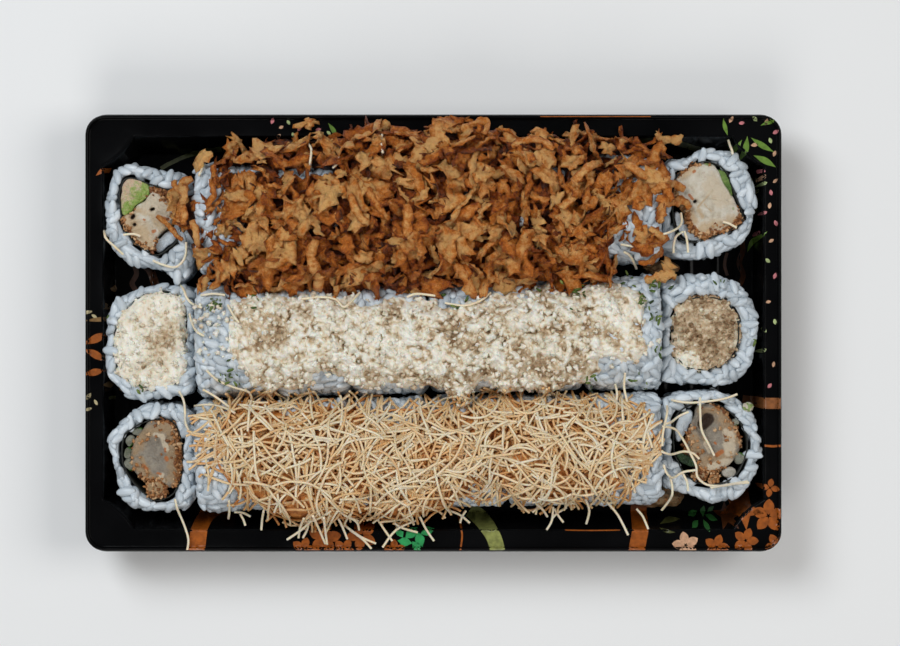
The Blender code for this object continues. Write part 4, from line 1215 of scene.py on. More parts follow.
fillingColours = {
    "chicken": [(0.28, (0.46, 0.37, 0.26)), (0.46, (0.66, 0.59, 0.47)), (0.68, (0.80, 0.76, 0.67))],
    "prawn": [(0.30, (0.20, 0.16, 0.12)), (0.5, (0.29, 0.25, 0.20)), (0.7, (0.41, 0.35, 0.27))],
    "crumbed": [(0.30, (0.20, 0.10, 0.04)), (0.5, (0.40, 0.26, 0.13)), (0.7, (0.56, 0.42, 0.27))],
    "cucumber": [(0.30, (0.13, 0.14, 0.09)), (0.5, (0.24, 0.24, 0.19)), (0.7, (0.36, 0.36, 0.29))],
    "paleBit": [(0.30, (0.28, 0.26, 0.22)), (0.5, (0.46, 0.43, 0.37)), (0.7, (0.58, 0.55, 0.48))],
    "greens": [(0.30, (0.03, 0.08, 0.01)), (0.5, (0.10, 0.19, 0.03)), (0.7, (0.26, 0.36, 0.10))],
    "darkLeaf": [(0.30, (0.012, 0.02, 0.012)), (0.5, (0.02, 0.05, 0.018)), (0.7, (0.05, 0.11, 0.03))],
    "crustDark": (0.13, 0.035, 0.006),
    "crustLight": (0.52, 0.21, 0.055),
    "marks": {
        "tan": (0.60, 0.43, 0.25), "coat": (0.40, 0.27, 0.15), "pale": (0.68, 0.57, 0.42),
        "fleck": (0.50, 0.15, 0.03), "green": (0.22, 0.34, 0.06),
        # dark: painted shade in the pits that these marks dent into the cut faces
        "dark": (0.035, 0.014, 0.005),
    },
}


def fillingMaterial(look):
    material, tree, shader = newMaterial(f"filling_{look}", Roughness=0.48, Subsurface_Weight=0.12)
    shader.inputs["Subsurface Radius"].default_value = (1.0, 0.6, 0.4)
    shader.inputs["Subsurface Scale"].default_value = 0.0008
    body = ramp(tree, noiseValue(tree, 230, 6, 0.68, shift=0.3), fillingColours[look])
    speck = ramp(tree, noiseValue(tree, 520, 3, 0.6, shift=0.9), [(0.64, (0, 0, 0)), (0.72, (1, 1, 1))])
    if look in ("chicken", "prawn", "crumbed"):
        body = mixColour(tree, mathValue(tree, "MULTIPLY", speck, 0.45), body, (0.36, 0.13, 0.04))
        grainy = mathValue(
            tree, "MULTIPLY", mathValue(tree, "SUBTRACT", noiseValue(tree, 520, 5, 0.7, shift=0.6), 0.5), 1.5
        )
        for kind, colour in fillingColours["marks"].items():
            strong = {"dark": 4.0, "green": 1.5, "tan": 1.2, "coat": 1.4}.get(kind, 2.2)
            painted = mathValue(
                tree, "ADD", attributeValue(tree, kind),
                mathValue(tree, "MULTIPLY", grainy, 0.25 if kind == "dark" else 0.75),
            )
            share = mathValue(tree, "MULTIPLY", mathValue(tree, "SUBTRACT", painted, 0.30), strong * 1.6, clamp=True)
            body = mixColour(tree, mathValue(tree, "MULTIPLY", share, 0.98 if kind == "dark" else 0.85), body, colour)
        crust = ramp(
            tree, noiseValue(tree, 900, 3, 0.6),
            [(0.35, fillingColours["crustDark"]), (0.65, fillingColours["crustLight"])],
        )
        ragged = mathValue(
            tree, "ADD", attributeValue(tree, "crust"),
            mathValue(tree, "MULTIPLY", mathValue(tree, "SUBTRACT", noiseValue(tree, 700, 4), 0.5), 1.1),
        )
        edge = mathValue(tree, "MULTIPLY", mathValue(tree, "SUBTRACT", ragged, 0.42), 5.0, clamp=True)
        body = mixColour(tree, edge, body, crust)
    if look == "cucumber":
        rind = mathValue(
            tree, "MULTIPLY", mathValue(tree, "SUBTRACT", attributeValue(tree, "crust"), 0.55), 4.0, clamp=True
        )
        body = mixColour(tree, rind, body, (0.06, 0.16, 0.015))
    tree.links.new(body, shader.inputs["Base Color"])
    bump(tree, shader, noiseValue(tree, 560, 6, 0.7), 0.95, 0.0013)
    return material


def lettuceMaterial():
    material, tree, shader = newMaterial("filling_lettuce", Roughness=0.42, Subsurface_Weight=0.15)
    shader.inputs["Subsurface Scale"].default_value = 0.0008
    place = addNode(tree, "ShaderNodeSeparateXYZ", {"Vector": objectPlace(tree)})
    # Pale rib at the back left, green towards the front right
    across = mathValue(
        tree, "SUBTRACT", mathValue(tree, "MULTIPLY", mathValue(tree, "ADD", place.outputs[0], 0.0955), 130.0),
        mathValue(tree, "MULTIPLY", mathValue(tree, "SUBTRACT", place.outputs[1], 0.0445), 120.0),
    )
    mottled = mathValue(
        tree, "ADD", across,
        mathValue(tree, "MULTIPLY", mathValue(tree, "SUBTRACT", noiseValue(tree, 480, 5, 0.7), 0.5), 3.6),
    )
    leaf = ramp(tree, mathValue(tree, "MULTIPLY", mottled, 0.55), [
        (0.0, (0.66, 0.47, 0.33)), (0.28, (0.62, 0.50, 0.32)), (0.48, (0.36, 0.44, 0.13)), (0.72, (0.24, 0.36, 0.06)),
        (1.0, (0.07, 0.19, 0.012)),
    ])
    tree.links.new(leaf, shader.inputs["Base Color"])
    bump(tree, shader, noiseValue(tree, 520, 5, 0.68), 1.0, 0.0016)
    return material


fillingLooks = {
    look: fillingMaterial(look)
    for look in ("chicken", "prawn", "crumbed", "cucumber", "paleBit", "greens", "darkLeaf")
}
fillingLooks["lettuce"] = lettuceMaterial()
fillingLooks["rice"] = riceLook
fillingSlots = {"chicken": "cutlet", "crumbed": "cutlet", "prawn": "prawn", "rice": "rice", "paleBit": "cutlet"}


def nearLine(x, y, mark):  # 1 on a mark's middle line, 0 at twice its half width
    _, x0, y0, x1, y1, half = mark
    dx, dy = x1 - x0, y1 - y0
    share = np.clip(((x - x0) * dx + (y - y0) * dy) / max(dx * dx + dy * dy, 1e-6), 0, 1)
    return float(np.clip(1 - (math.hypot(x - x0 - share * dx, y - y0 - share * dy) / half) / 2, 0, 1))


def loftFilling(name, outline, plan, seed):  # rings from the outline in to its middle, a rough dome on straight sides
    face, base = foodPlan["cutFace"] - plan["drop"], foodPlan["base"]
    middle = outline.mean(axis=0)
    shares = (0.985, 0.95, *np.linspace(0.91, 0.03, plan.get("rings", 26)))
    rings, zs = [outline, outline, outline], [base, face - 5.0, face - 1.0]
    for share in shares:
        rings.append(middle + (outline - middle) * share)
        zs.append(face + plan["rise"] * (1 - share ** 3) - (0.5 if share > 0.98 else 0.1 if share > 0.94 else 0.0))
    turns = np.degrees(np.arctan2(outline[:, 1] - middle[1], outline[:, 0] - middle[0]))
    reach = np.linalg.norm(outline - middle, axis=1) / mm
    marks = plan.get("marks", [])
    kinds = list(fillingColours["marks"])
    layers = {kind: [] for kind in kinds}
    vertices, crust = [], []
    for k, (ring, z) in enumerate(zip(rings, zs)):
        depth = np.zeros(len(outline)) if k < 3 else reach * (1 - shares[k - 3])
        value = np.zeros(len(outline))
        for direction, spread, width in plan["crust"]:
            away = np.abs((turns - direction + 180) % 360 - 180)
            value = np.maximum(
                value, np.clip(1.25 * (1 - away / (1.35 * spread)), 0, 1) * np.clip(1.3 - depth / width, 0, 1)
            )
        if plan["look"] in ("crumbed", "cucumber"):
            away = np.abs((turns - plan.get("rindAt", 300) + 180) % 360 - 180)
            value = (
                np.clip(1 - depth / 1.4, 0, 1)
                * (1.0 if plan["look"] == "crumbed" else np.clip(1.4 - away / 60, 0, 1))
            )
        for i, point in enumerate(ring):
            x, y = point / mm
            near = {kind: 0.0 for kind in kinds}
            for mark in marks:
                near[mark[0]] = max(near[mark[0]], nearLine(x, y, mark))
            rough = 0.0
            if k > 1:
                rough = (
                    plan["lump"]
                    * (
                        fbm(*point, 0.38, seed, 4)
                        + (0.5 + 0.9 * value[i]) * noise.noise(Vector((x * 1.5, y * 1.5, seed)))
                    )
                )
                rough += 0.35 * max(near["tan"], near["coat"]) + 0.3 * near["pale"] - 2.6 * near["dark"]
            vertices.append((point[0], point[1], (z + rough) * mm))
            for kind in kinds:
                layers[kind].append(near[kind])
        crust.append(value)
    crust = np.concatenate(crust)
    top = np.array([v[2] for v in vertices]) > (face - 0.9) * mm
    cover = np.clip(crust * 1.3 + 0.3 * np.array(layers["coat"]), 0, 1) * top
    attributes = {"crust": crust, "tone": np.full(len(vertices), 0.35), "cover": cover, **layers}
    return meshObject(
        name, vertices, loftFaces(len(rings), len(outline)), fillingLooks[plan["look"]], attributes=attributes
    )


def breadcrumbGroup():
    material, tree, shader = newMaterial("breadcrumb", Roughness=0.6)
    tone = mathValue(
        tree, "ADD", mathValue(tree, "MULTIPLY", attributeValue(tree, "tone"), 0.6),
        mathValue(tree, "MULTIPLY", noiseValue(tree, 600, 3), 0.4),
    )
    tree.links.new(ramp(tree, tone, breading["colours"]), shader.inputs["Base Color"])
    bump(tree, shader, noiseValue(tree, 1500, 3), 0.5, 0.0004)
    kinds = []
    for number in range(breading["kinds"]):
        def place(way):
            swell = 1 + 1.3 * noise.noise(way * 1.7 + Vector((number * 4.1, 2, 0)))
            swell += 0.9 * noise.noise(way * 3.5 + Vector((0, number * 3.1, 4)))
            return Vector((way.x * 1.3, way.y, way.z * 0.7)) * breading["size"] * mm * swell

        kinds.append(lumpObject(f"breadcrumb_{number}", 2, place))
    return kinds, scatterTree("breadcrumbScatter", variantCollection("breadcrumbKinds", kinds), material)


breading = {
    "kinds": 3,
    "size": 0.52,
    "spacing": 0.85,
    "colours": [(0.2, (0.17, 0.05, 0.010)), (0.5, (0.45, 0.20, 0.065)), (0.8, (0.64, 0.42, 0.23))],
}
breadcrumbs, breadGroup = breadcrumbGroup()
coated = []
for number, (name, plan) in enumerate(fillings.items()):
    outline = offsetLoop(smoothLoop(plan["corners"], 96, wobble=0.45, seed=60 + number), 0.35 * mm)
    piece = loftFilling(f"{name}_cut", outline, plan, 60 + number)
    if plan.get("marks"):
        coated.append(
            scatter(
                f"{name}_breading", piece, breadGroup,
                spreadValues(breading["spacing"], 4000000.0, number, (0.5, 1.3), 3.0, (-0.2, 0.25)),
            )
        )
    finishPiece(piece, fillingSlots.get(plan["look"], "greens"), name)
for number, (name, (at, half, look, drop)) in enumerate(roundBits.items()):
    circle = [
        (at[0] + half[0] * math.cos(t), at[1] + half[1] * math.sin(t))
        for t in np.linspace(0, 2 * math.pi, 10, endpoint=False)
    ]
    plan = {
        "look": look, "rise": 0.5, "lump": 0.45, "crust": [], "drop": drop, "rindAt": 300 if number % 2 else 60,
        "rings": 8,
    }
    outline = offsetLoop(smoothLoop(circle, 32, wobble=0.9, seed=80 + number), 0.25 * mm)
    piece = loftFilling(f"{name}_cut", outline, plan, 80 + number)
    if look == "crumbed":
        piece.data.attributes["cover"].data.foreach_set(
            "value",
            (
                np.array([v.co.z for v in piece.data.vertices]) > (foodPlan["cutFace"] - drop - 0.9) * mm
            ).astype(np.float32),
        )
        coated.append(
            scatter(
                f"{name}_breading", piece, breadGroup,
                spreadValues(0.9, 4000000.0, number, (0.5, 1.2), 3.0, (-0.2, 0.2)),
            )
        )
    finishPiece(piece, fillingSlots.get(look, "greens"), name)
finishPiece(joinObjects("breadcrumbs_on_crusts", coated), "cutlet")
dropObjects(*breadcrumbs)
print("fillings")

# Heaps: the uneven outline of each topping over its row, in mm

heaps = {
    "onion": {
        "back": [
            (-76, 45), (-70, 48), (-64, 55), (-56, 55.5), (-52, 57), (-46, 60.5), (-40, 59), (-33, 60.5), (-27, 60),
            (-22, 64), (-17, 62), (-9, 61), (-4, 62), (3, 65), (8, 64), (15, 65), (19, 61.5), (26, 60), (34, 61),
            (40, 60), (46, 61.5), (51, 58.5), (57, 60.5), (62, 58), (70, 56),
        ],
        "front": [
            (-76, 33), (-71, 24), (-66, 15), (-59, 10), (-52, 11.5), (-45, 13.5), (-38, 12), (-31, 10), (-25, 14),
            (-19, 13), (-12, 10.5), (-5, 9.5), (2, 12), (8, 13), (13, 9.5), (19, 12), (27, 12.5), (34, 15), (40, 12),
            (46, 15), (55, 16), (57, 26), (62, 28.5), (70, 35),
        ],
        "gaps": [
            # middle x, middle y, half width, half depth of the places where the food below shows
            (-71.5, 45.5, 4.2, 4.8), (-58, 50.3, 6.5, 1.7), (-39.5, 48.6, 10.0, 2.3), (36, 48.6, 4.5, 1.8),
            (52, 53.2, 11.0, 1.9), (60.3, 46.5, 2.6, 2.8), (60.5, 37.5, 4.0, 2.0), (58.5, 24, 6.0, 4.2),
            (67, 33.5, 2.6, 5.0),
        ],
        "top": 37.8, "arch": 0.45, "seed": 3, "left": -76.0, "right": 70.0, "wave": 0.5, "bumps": 2.0,
    },
    "crumb": {
        "back": [
            (-62, 9), (-58, 11.5), (-50, 12), (-40, 12.5), (-30, 11.5), (-20, 11), (-10, 11), (0, 10.5), (6, 9.5),
            (12, 10.5),
            (20, 12), (28, 12.5), (34, 15), (38, 14), (42, 12), (46, 14.5), (52, 15.5), (58, 15), (63, 12.5),
            (67, 10),
        ],
        "front": [
            (-62, -8), (-58, -12), (-54, -17), (-50, -20), (-46, -16), (-42, -18), (-37, -15.5), (-33, -14),
            (-28, -14),
            (-24, -15.5), (-20, -17.5), (-14, -16), (-8, -17), (-2, -16), (3, -17), (6, -21), (9, -24), (11, -20),
            (14, -15), (18, -15.5), (22, -18.5), (28, -17.5), (34, -18.5), (39, -17), (43, -15), (47, -15), (51, -12),
            (56, -9), (61, -9), (67, -4),
        ],
        "gaps": [
            (-33, -13.5, 3.6, 1.8), (-20, 9.5, 4.0, 1.4), (5, 9.0, 4.0, 1.3), (53, -9.0, 3.2, 2.0),
            (65.5, 4.0, 2.2, 7.0),
        ],
        "top": 37.2, "arch": 0.38, "seed": 11, "left": -62.0, "right": 67.0, "wave": 1.5, "bumps": 1.4,
    },
    "noodle": {
        "back": [
            (-72, -27), (-68, -23), (-60, -20), (-50, -20.5), (-45, -21.5), (-40, -20), (-32, -21), (-25, -21),
            (-18, -21.5),
            (-10, -24), (-3, -22), (0, -22), (10, -22), (15, -20), (22, -20), (30, -19.5), (38, -20), (45, -21),
            (52, -21.5), (58, -20), (64, -24), (68, -28),
        ],
        "front": [
            (-72, -40), (-68, -46), (-62, -50), (-55, -53), (-48, -56), (-40, -58), (-33, -58.5), (-27, -57),
            (-20, -55),
            (-15, -56.5), (-8, -57.5), (-2, -55.5), (4, -54), (10, -51), (16, -49.5), (22, -50), (26, -51.5),
            (32, -53),
            (40, -52), (48, -51), (56, -51), (62, -47), (66, -40), (68, -34),
        ],
        "gaps": [
            (-19, -51.5, 5.0, 2.6), (16.5, -49.0, 5.5, 3.6), (-66, -44, 5.0, 9.0), (-70.5, -31, 3.4, 5.0),
            (63.5, -46, 4.5, 3.0), (-50, -52.0, 4.0, 2.0),
        ],
        "top": 38.6, "arch": 0.45, "seed": 23, "left": -72.0, "right": 68.0, "wave": 0.7, "bumps": 2.0,
    },
}
standingReach = 71.3  # the standing slices end here, and the end slices lie lower
restHeight = 22.3  # toppings that reach past the rolls lie just above the rim


def heapEdges(heap, x):  # back and front edge at x, all in mm
    edges = []
    for which, shift in (("back", 1.0), ("front", 9.0)):
        xs, ys = zip(*heap[which])
        edges.append(float(np.interp(x, xs, ys)) + heap["wave"] * noise.noise(Vector((x * 0.3, shift, heap["seed"]))))
    return edges


def gapShare(heap, x, y):  # 1 in the middle of a gap, 0 outside all gaps
    share = 0.0
    for middleX, middleY, halfX, halfY in heap["gaps"]:
        reach = math.hypot((x - middleX) / halfX, (y - middleY) / halfY)
        share = max(share, 1.8 * (1.25 - reach))
    return min(1.0, share)


def heapTop(heap, x, y):  # height of the heap's outline in mm, never below the rolls or the rim
    back, front = heapEdges(heap, x)
    across = (2 * y - back - front) / (back - front)
    middle = (heap["left"] + heap["right"]) / 2
    along = (x - middle) / (heap["right"] - middle)
    bed = max(rollTop(x * mm, y * mm) / mm, restHeight - (3.0 if y < -63 else 0.0))
    if abs(across) >= 1 or abs(along) >= 1:
        return bed + 0.3
    arch = (1 - abs(across) ** 2.4) ** heap["arch"] * (1 - abs(along) ** 7) ** 0.5
    rough = heap["bumps"] * fbm(x * mm, y * mm, 0.085, heap["seed"], 3)
    return max(bed + 0.5, restHeight + (heap["top"] - restHeight) * arch + rough) - 1.5 * gapShare(heap, x, y)


def heapGrid(heap, stepX, stepY, height, foot=None):  # closed below when a foot height is given
    columns = np.arange(heap["left"], heap["right"] + 1e-6, stepX)
    deepest = max(back - front for back, front in (heapEdges(heap, x) for x in columns))
    wide = int(deepest / stepY) + 2
    upper, lower, places = [], [], []
    for x in columns:
        back, front = heapEdges(heap, x)
        for share in np.linspace(0, 1, wide):
            y = back + (front - back) * share
            top = height(x, y)
            places.append((x, y))
            upper.append((x * mm, y * mm, top * mm))
            if foot:
                lower.append((x * mm, y * mm, min(foot(x, y), top - 0.2) * mm))
    faces = []
    for i in range(len(columns) - 1):
        for j in range(wide - 1):
            a = i * wide + j
            faces.append((a, a + 1, a + wide + 1, a + wide))
    if foot:
        total = len(upper)
        faces += [tuple(total + v for v in reversed(face)) for face in faces]
        rim = list(range(wide)) + [i * wide + wide - 1 for i in range(1, len(columns))]
        rim += (
            [(len(columns) - 1) * wide + j for j in range(wide - 2, -1, -1)]
            + [i * wide for i in range(len(columns) - 2, 0, -1)]
        )
        for a, b in zip(rim, rim[1:] + rim[:1]):
            faces.append((a, b, total + b, total + a))
    return upper + lower, faces, places


def heapFoot(x, y):
    return max(rollTop(x * mm, y * mm) / mm - 1.2, 14.0)


def clearOfEdge(heap, x, y):  # how far inside the heap's edge a place is, in mm
    back, front = heapEdges(heap, x)
    return min(back - y, y - front, x - heap["left"], heap["right"] - x)


def restingHeight(x, y):  # what a loose thread lies on: rolls, heaps, end slices, the rim, or sagging between
    best = rollTop(x * mm, y * mm) / mm if abs(x) < standingReach else 0.0
    for heap in heaps.values():
        inside = clearOfEdge(heap, x, y)
        if inside > 0 and gapShare(heap, x, y) < 0.5:
            best = max(best, heapTop(heap, x, y) - 1.5 + min(2.0, 0.8 * inside))
    for end in endSlices.values():
        corners = np.array(end["rice"], float)
        low, high = corners.min(axis=0), corners.max(axis=0)
        middle, half = (low + high) / 2, (high - low) / 2
        if ((x - middle[0]) / half[0]) ** 4 + ((y - middle[1]) / half[1]) ** 4 < 1.0:
            best = max(best, foodPlan["cutFace"] + 1.2)
    return max(best, 21.3 if abs(y) > 60 else 20.0)


def overSlice(x, y):  # whether a lying end slice is under a place in mm
    for end in endSlices.values():
        corners, inside = list(end["rice"]), False
        for (x1, y1), (x2, y2) in zip(corners, corners[1:] + corners[:1]):
            if (y1 > y) != (y2 > y) and x < (x2 - x1) * (y - y1) / (y2 - y1) + x1:
                inside = not inside
        if inside:
            return True
    return False


def shiftTone(piece, factor, offset, where=None):  # where gives a share from each place in mm
    layer = piece.data.attributes["tone"]
    tone = np.empty(len(layer.data), np.float32)
    layer.data.foreach_get("value", tone)
    changed = tone * factor + offset
    if where:
        share = np.array([where(v.co.x / mm, v.co.y / mm) for v in piece.data.vertices])
        changed = tone + (changed - tone) * share
    layer.data.foreach_set("value", changed.astype(np.float32))


def keepInside(piece):  # no topping reaches over the tray's edge or above the food's greatest height
    co = np.empty(len(piece.data.vertices) * 3, np.float32)
    piece.data.vertices.foreach_get("co", co)
    co = co.reshape(-1, 3)
    for axis, limit in ((1, 66.2), (2, 40.9)):
        over = co[:, axis] > limit * mm
        co[over, axis] = limit * mm + 1.1 * mm * np.tanh((co[over, axis] - limit * mm) / (2.2 * mm))
    under = co[:, 1] < -66.4 * mm
    co[under, 1] = -66.4 * mm + (co[under, 1] + 66.4 * mm) * 0.3
    piece.data.vertices.foreach_set("co", co.ravel())
    piece.data.update()


# Fried onion

onion = {
    "shards": 9,
    "curls": 4,
    "shardSize": (6.0, 11.5),
    "curlLength": (8.0, 13.5),
    "curlWidth": (3.0, 5.2),
    "thickness": 0.45,
    "spacing": 2.9,
    "density": 600000.0,
    "tilt": 0.85,
    "coreDrop": 4.0,
    "colours": [
        (0.12, (0.05, 0.008, 0.001)), (0.34, (0.36, 0.074, 0.005)), (0.53, (0.74, 0.225, 0.028)),
        (0.74, (1.0, 0.54, 0.19)),
    ],
    "bands": [
        # a curled strip's width, then the places it passes through
        (2.8, [(66.4, 42.4), (69.2, 44.8), (73.4, 45.2), (76.8, 43.8)]),
        (3.0, [(67.6, 41.0), (71.6, 39.7), (75.6, 40.2), (78.6, 38.2)]),
        (2.6, [(69.0, 39.6), (69.4, 36.6), (68.6, 33.4)]), (2.2, [(65.6, 32.0), (67.8, 30.2), (70.4, 28.6)]),
        (2.6, [(-73.6, 47.4), (-76.6, 45.2), (-75.4, 41.4), (-76.8, 37.8)]),
        (2.4, [(-79.4, 46.6), (-77.6, 43.8), (-74.6, 44.4)]),
        (1.7, [(-84.4, 35.8), (-81.4, 33.6), (-79.0, 30.8), (-76.6, 28.2)]),
        (2.6, [(-77.8, 40.0), (-75.6, 36.6), (-75.8, 32.8)]),
        (2.2, [(-73.0, 34.2), (-71.6, 30.2), (-71.4, 26.0)]), (2.0, [(-67.6, 47.0), (-66.4, 42.0), (-68.6, 38.4)]),
        (2.6, [(42.0, 44.6), (44.8, 48.4), (48.6, 51.0), (51.6, 51.8)]),
        (2.6, [(57.0, 52.0), (60.6, 49.8), (65.0, 47.0)]),
        (2.4, [(-38.8, 66.0), (-38.0, 64.0), (-38.4, 62.4)]), (2.0, [(-61.8, 59.0), (-60.8, 57.4), (-59.6, 56.6)]),
        (2.4, [(23.8, 56.6), (27.6, 58.4), (32.6, 58.4), (36.6, 55.8)]),
        (2.6, [(10.6, 62.6), (13.8, 64.4), (16.4, 63.6), (15.4, 60.4)]),
        (2.2, [(42.4, 17.0), (47.4, 17.6), (51.4, 16.6), (54.4, 16.8)]),
        (2.8, [(6.4, 21.0), (9.8, 17.0), (12.6, 10.8)]),
        (2.6, [(-19.6, 44.0), (-17.2, 39.0), (-13.2, 34.2)]), (3.2, [(-8.0, 39.0), (-7.4, 33.0), (-8.4, 28.4)]),
        (3.4, [(-35.4, 28.4), (-36.8, 23.0), (-34.6, 16.8), (-35.4, 12.6)]),
        (2.4, [(-25.0, 42.0), (-22.6, 36.0), (-19.4, 32.6)]),
    ],
    "patches": [
        # loose flakes: x, y, half size of the place they lie in, how close together
        (-75.6, 34.0, 2.2, 2.6), (-76.0, 41.0, 2.0, 3.0), (-61.0, 58.0, 1.6, 3.0),
        (-38.3, 65.0, 1.0, 2.0), (4.6, 64.2, 1.6, 2.2), (8.6, 66.0, 1.0, 2.2), (69.0, 57.0, 2.8, 3.2),
        (70.0, 44.2, 2.6, 3.0),
        (68.6, 36.6, 1.4, 2.4), (66.0, 28.0, 2.4, 3.0), (69.5, 19.5, 3.0, 3.2),
        (51.0, 19.0, 3.4, 2.8), (-71.0, 52.5, 1.6, 3.2), (-68.0, 17.0, 2.2, 3.0), (-72.5, 15.0, 1.2, 3.0),
    ],
}


def onionMaterial():
    material, tree, shader = newMaterial("fried_onion", Roughness=0.38, Subsurface_Weight=0.1)
    shader.inputs["Subsurface Radius"].default_value = (1.0, 0.4, 0.15)
    shader.inputs["Subsurface Scale"].default_value = 0.0007
    tone = mathValue(tree, "MULTIPLY", attributeValue(tree, "tone"), 0.36)
    tone = mathValue(tree, "ADD", tone, mathValue(tree, "MULTIPLY", noiseValue(tree, 430, 6, 0.75), 1.15))
    tone = mathValue(tree, "SUBTRACT", tone, 0.13)
    # Charring darkens the flake edges; on the onion core the same attribute paints shade between the flakes.
    tone = mathValue(tree, "SUBTRACT", tone, mathValue(tree, "MULTIPLY", attributeValue(tree, "charAndShade"), 0.16))
    tree.links.new(ramp(tree, tone, onion["colours"]), shader.inputs["Base Color"])
    bump(tree, shader, noiseValue(tree, 560, 5, 0.75), 1.0, 0.0028)
    return material


def shardVariant(number, rng):  # a torn, crinkled scrap with lobes
    size, narrow = rng.uniform(*onion["shardSize"]), rng.uniform(0.42, 0.8)
    bend, segments = rng.uniform(-1.1, 1.1), 17
    rings = [0.0, 0.28, 0.54, 0.78, 1.0]
    reach = []
    for i in range(segments):
        turn = 2 * math.pi * i / segments
        lobes = noise.noise(Vector((math.cos(turn) * 1.5, math.sin(turn) * 1.5, number * 3.7)))
        teeth = noise.noise(Vector((math.cos(turn) * 5.0, math.sin(turn) * 5.0, number * 2.3)))
        reach.append(size / 2 * (1 + 0.8 * lobes + 0.75 * teeth))
    layers = []
    for side in (1, -1):
        for ring in rings[1:]:
            for i in range(segments):
                turn = 2 * math.pi * i / segments
                layers.append(
                    (ring * reach[i] * math.cos(turn), ring * reach[i] * math.sin(turn) * narrow, ring, side)
                )
        layers.append((0.0, 0.0, 0.0, side))
    vertices, charAndShade = [], []
    for x, y, ring, side in layers:
        z = bend * (x / size) ** 2 * size * 0.8 + 1.5 * noise.noise(Vector((x * 0.38, y * 0.45, number * 5.1)))
        z += (
            1.7 * abs(noise.noise(Vector((x * 0.55, y * 1.0, number * 7.9))))
            + 0.6 * noise.noise(Vector((x * 1.5, y * 1.5, number * 4.3)))
        )
        z += (
            side * onion["thickness"] * (0.62 - 0.35 * ring ** 2)
            + side * 0.22 * noise.noise(Vector((x * 1.7, y * 1.7, number + side * 9.0)))
        )
        vertices.append((x * mm, y * mm, z * mm))
        charAndShade.append(ring ** 3)
    faces, total = [], segments * (len(rings) - 1) + 1
    for base, flip in ((0, False), (total, True)):
        made = []
        for ring in range(len(rings) - 2):
            for i in range(segments):
                j = (i + 1) % segments
                a = base + ring * segments
                made.append((a + i, a + segments + i, a + segments + j, a + j))
        made += [(base + total - 1, base + i, base + (i + 1) % segments) for i in range(segments)]
        faces += [face[::-1] for face in made] if flip else made
    for i in range(segments):
        j = (i + 1) % segments
        a = (len(rings) - 2) * segments
        faces.append((a + i, total + a + i, total + a + j, a + j))
    return meshObject(f"shard_{number}", vertices, faces, attributes={"charAndShade": charAndShade})


def curlVariant(number, rng):  # a curled strip with ragged edges
    length, width = rng.uniform(*onion["curlLength"]), rng.uniform(*onion["curlWidth"])
    curl = rng.uniform(0.5, 2.8)
    steps, strips = 10, 3
    radius = length / curl
    vertices, charAndShade = [], []
    for i in range(steps + 1):
        u = i / steps
        angle = curl * (u - 0.5)
        flat = 0.25 if number % 2 else 0.85
        spine = np.array(
            [
                radius * math.sin(angle), radius * (1 - math.cos(angle)) * (1 - flat),
                radius * (1 - math.cos(angle)) * flat,
            ]
        )
        normal = np.array([-math.sin(angle) * flat, 0.0, math.cos(angle)])
        taper = math.sin(math.pi * (0.10 + 0.80 * u)) ** 0.4
        for side in (1, -1):
            order = range(strips + 1) if side == 1 else range(strips, -1, -1)
            for j in order:
                v = j / strips * 2 - 1
                wide = width / 2 * taper * (1 + 0.9 * noise.noise(Vector((u * 6.0, v * 1.1, number * 4.7))))
                crinkle = (
                    1.1 * noise.noise(Vector((u * 5.0, v * 1.6, number * 9.1 + 2)))
                    + 0.5 * noise.noise(Vector((u * 12.0, v * 3.0, number * 3.3)))
                )
                thick = onion["thickness"] * (0.65 - 0.34 * abs(v) ** 3)
                vertices.append(
                    (spine + np.array([0.4 * crinkle, v * wide, 0]) + normal * (crinkle + side * thick)) * mm
                )
                charAndShade.append(min(1.0, abs(v) ** 3 + max(0.0, abs(u - 0.5) * 2 - 0.75)))
    return meshObject(f"curl_{number}", vertices, loftFaces(steps + 1, 2 * (strips + 1)), attributes={"charAndShade": charAndShade})


def bandFlake(number, width, corners):  # one curled strip lying along its places
    spine = openCurve(corners, 0.2)
    along = np.gradient(spine, axis=0)
    along /= np.linalg.norm(along, axis=1)[:, None]
    beds = []
    for point in spine:
        if point[1] > 56:
            beds.append(
                max(restHeight, heapTop(heaps["onion"], *point) if clearOfEdge(heaps["onion"], *point) > 0 else 0)
            )
        else:
            beds.append(max(restingHeight(*point), foodPlan["cutFace"] if abs(point[0]) > 69 else 0))
    beds = 1.1 + np.array(beds, float)
    for _ in range(12):  # bridges a step down instead of following it
        beds[1:-1] = np.maximum(beds[1:-1], (beds[:-2] + beds[2:]) / 2)
    vertices, charAndShade, strips = [], [], 4
    for i, (point, way, bed) in enumerate(zip(spine, along, beds)):
        u = i / (len(spine) - 1)
        taper = math.sin(math.pi * (0.12 + 0.76 * u)) ** 0.4
        for side in (1, -1):
            order = range(strips + 1) if side == 1 else range(strips, -1, -1)
            for j in order:
                v = j / strips * 2 - 1
                wide = v * width / 2 * taper * (1 + 0.7 * noise.noise(Vector((u * 7, v, number * 3.3))))
                crinkle = (
                    0.8 * noise.noise(Vector((u * 6, v * 1.6, number * 2.1)))
                    + 0.45 * noise.noise(Vector((u * 17, v * 4, number)))
                )
                thick = side * onion["thickness"] * (0.7 - 0.35 * abs(v) ** 3)
                x, y = point[0] - way[1] * wide, point[1] + way[0] * wide
                vertices.append(
                    (x * mm, y * mm, (bed + crinkle - 0.5 * v * v + thick + 0.8 * math.sin(math.pi * u)) * mm)
                )
                charAndShade.append(min(1.0, abs(v) ** 3 + max(0.0, abs(u - 0.5) * 2 - 0.75)))
    attributes = {
        "charAndShade": charAndShade, "tone": np.full(len(vertices), 0.55 + 0.4 * noise.noise(Vector((number * 1.7, 0.4, 0.1))))
    }
    return meshObject(
        f"band_{number}", vertices, loftFaces(len(spine), 2 * (strips + 1)), onionLook, attributes=attributes
    )


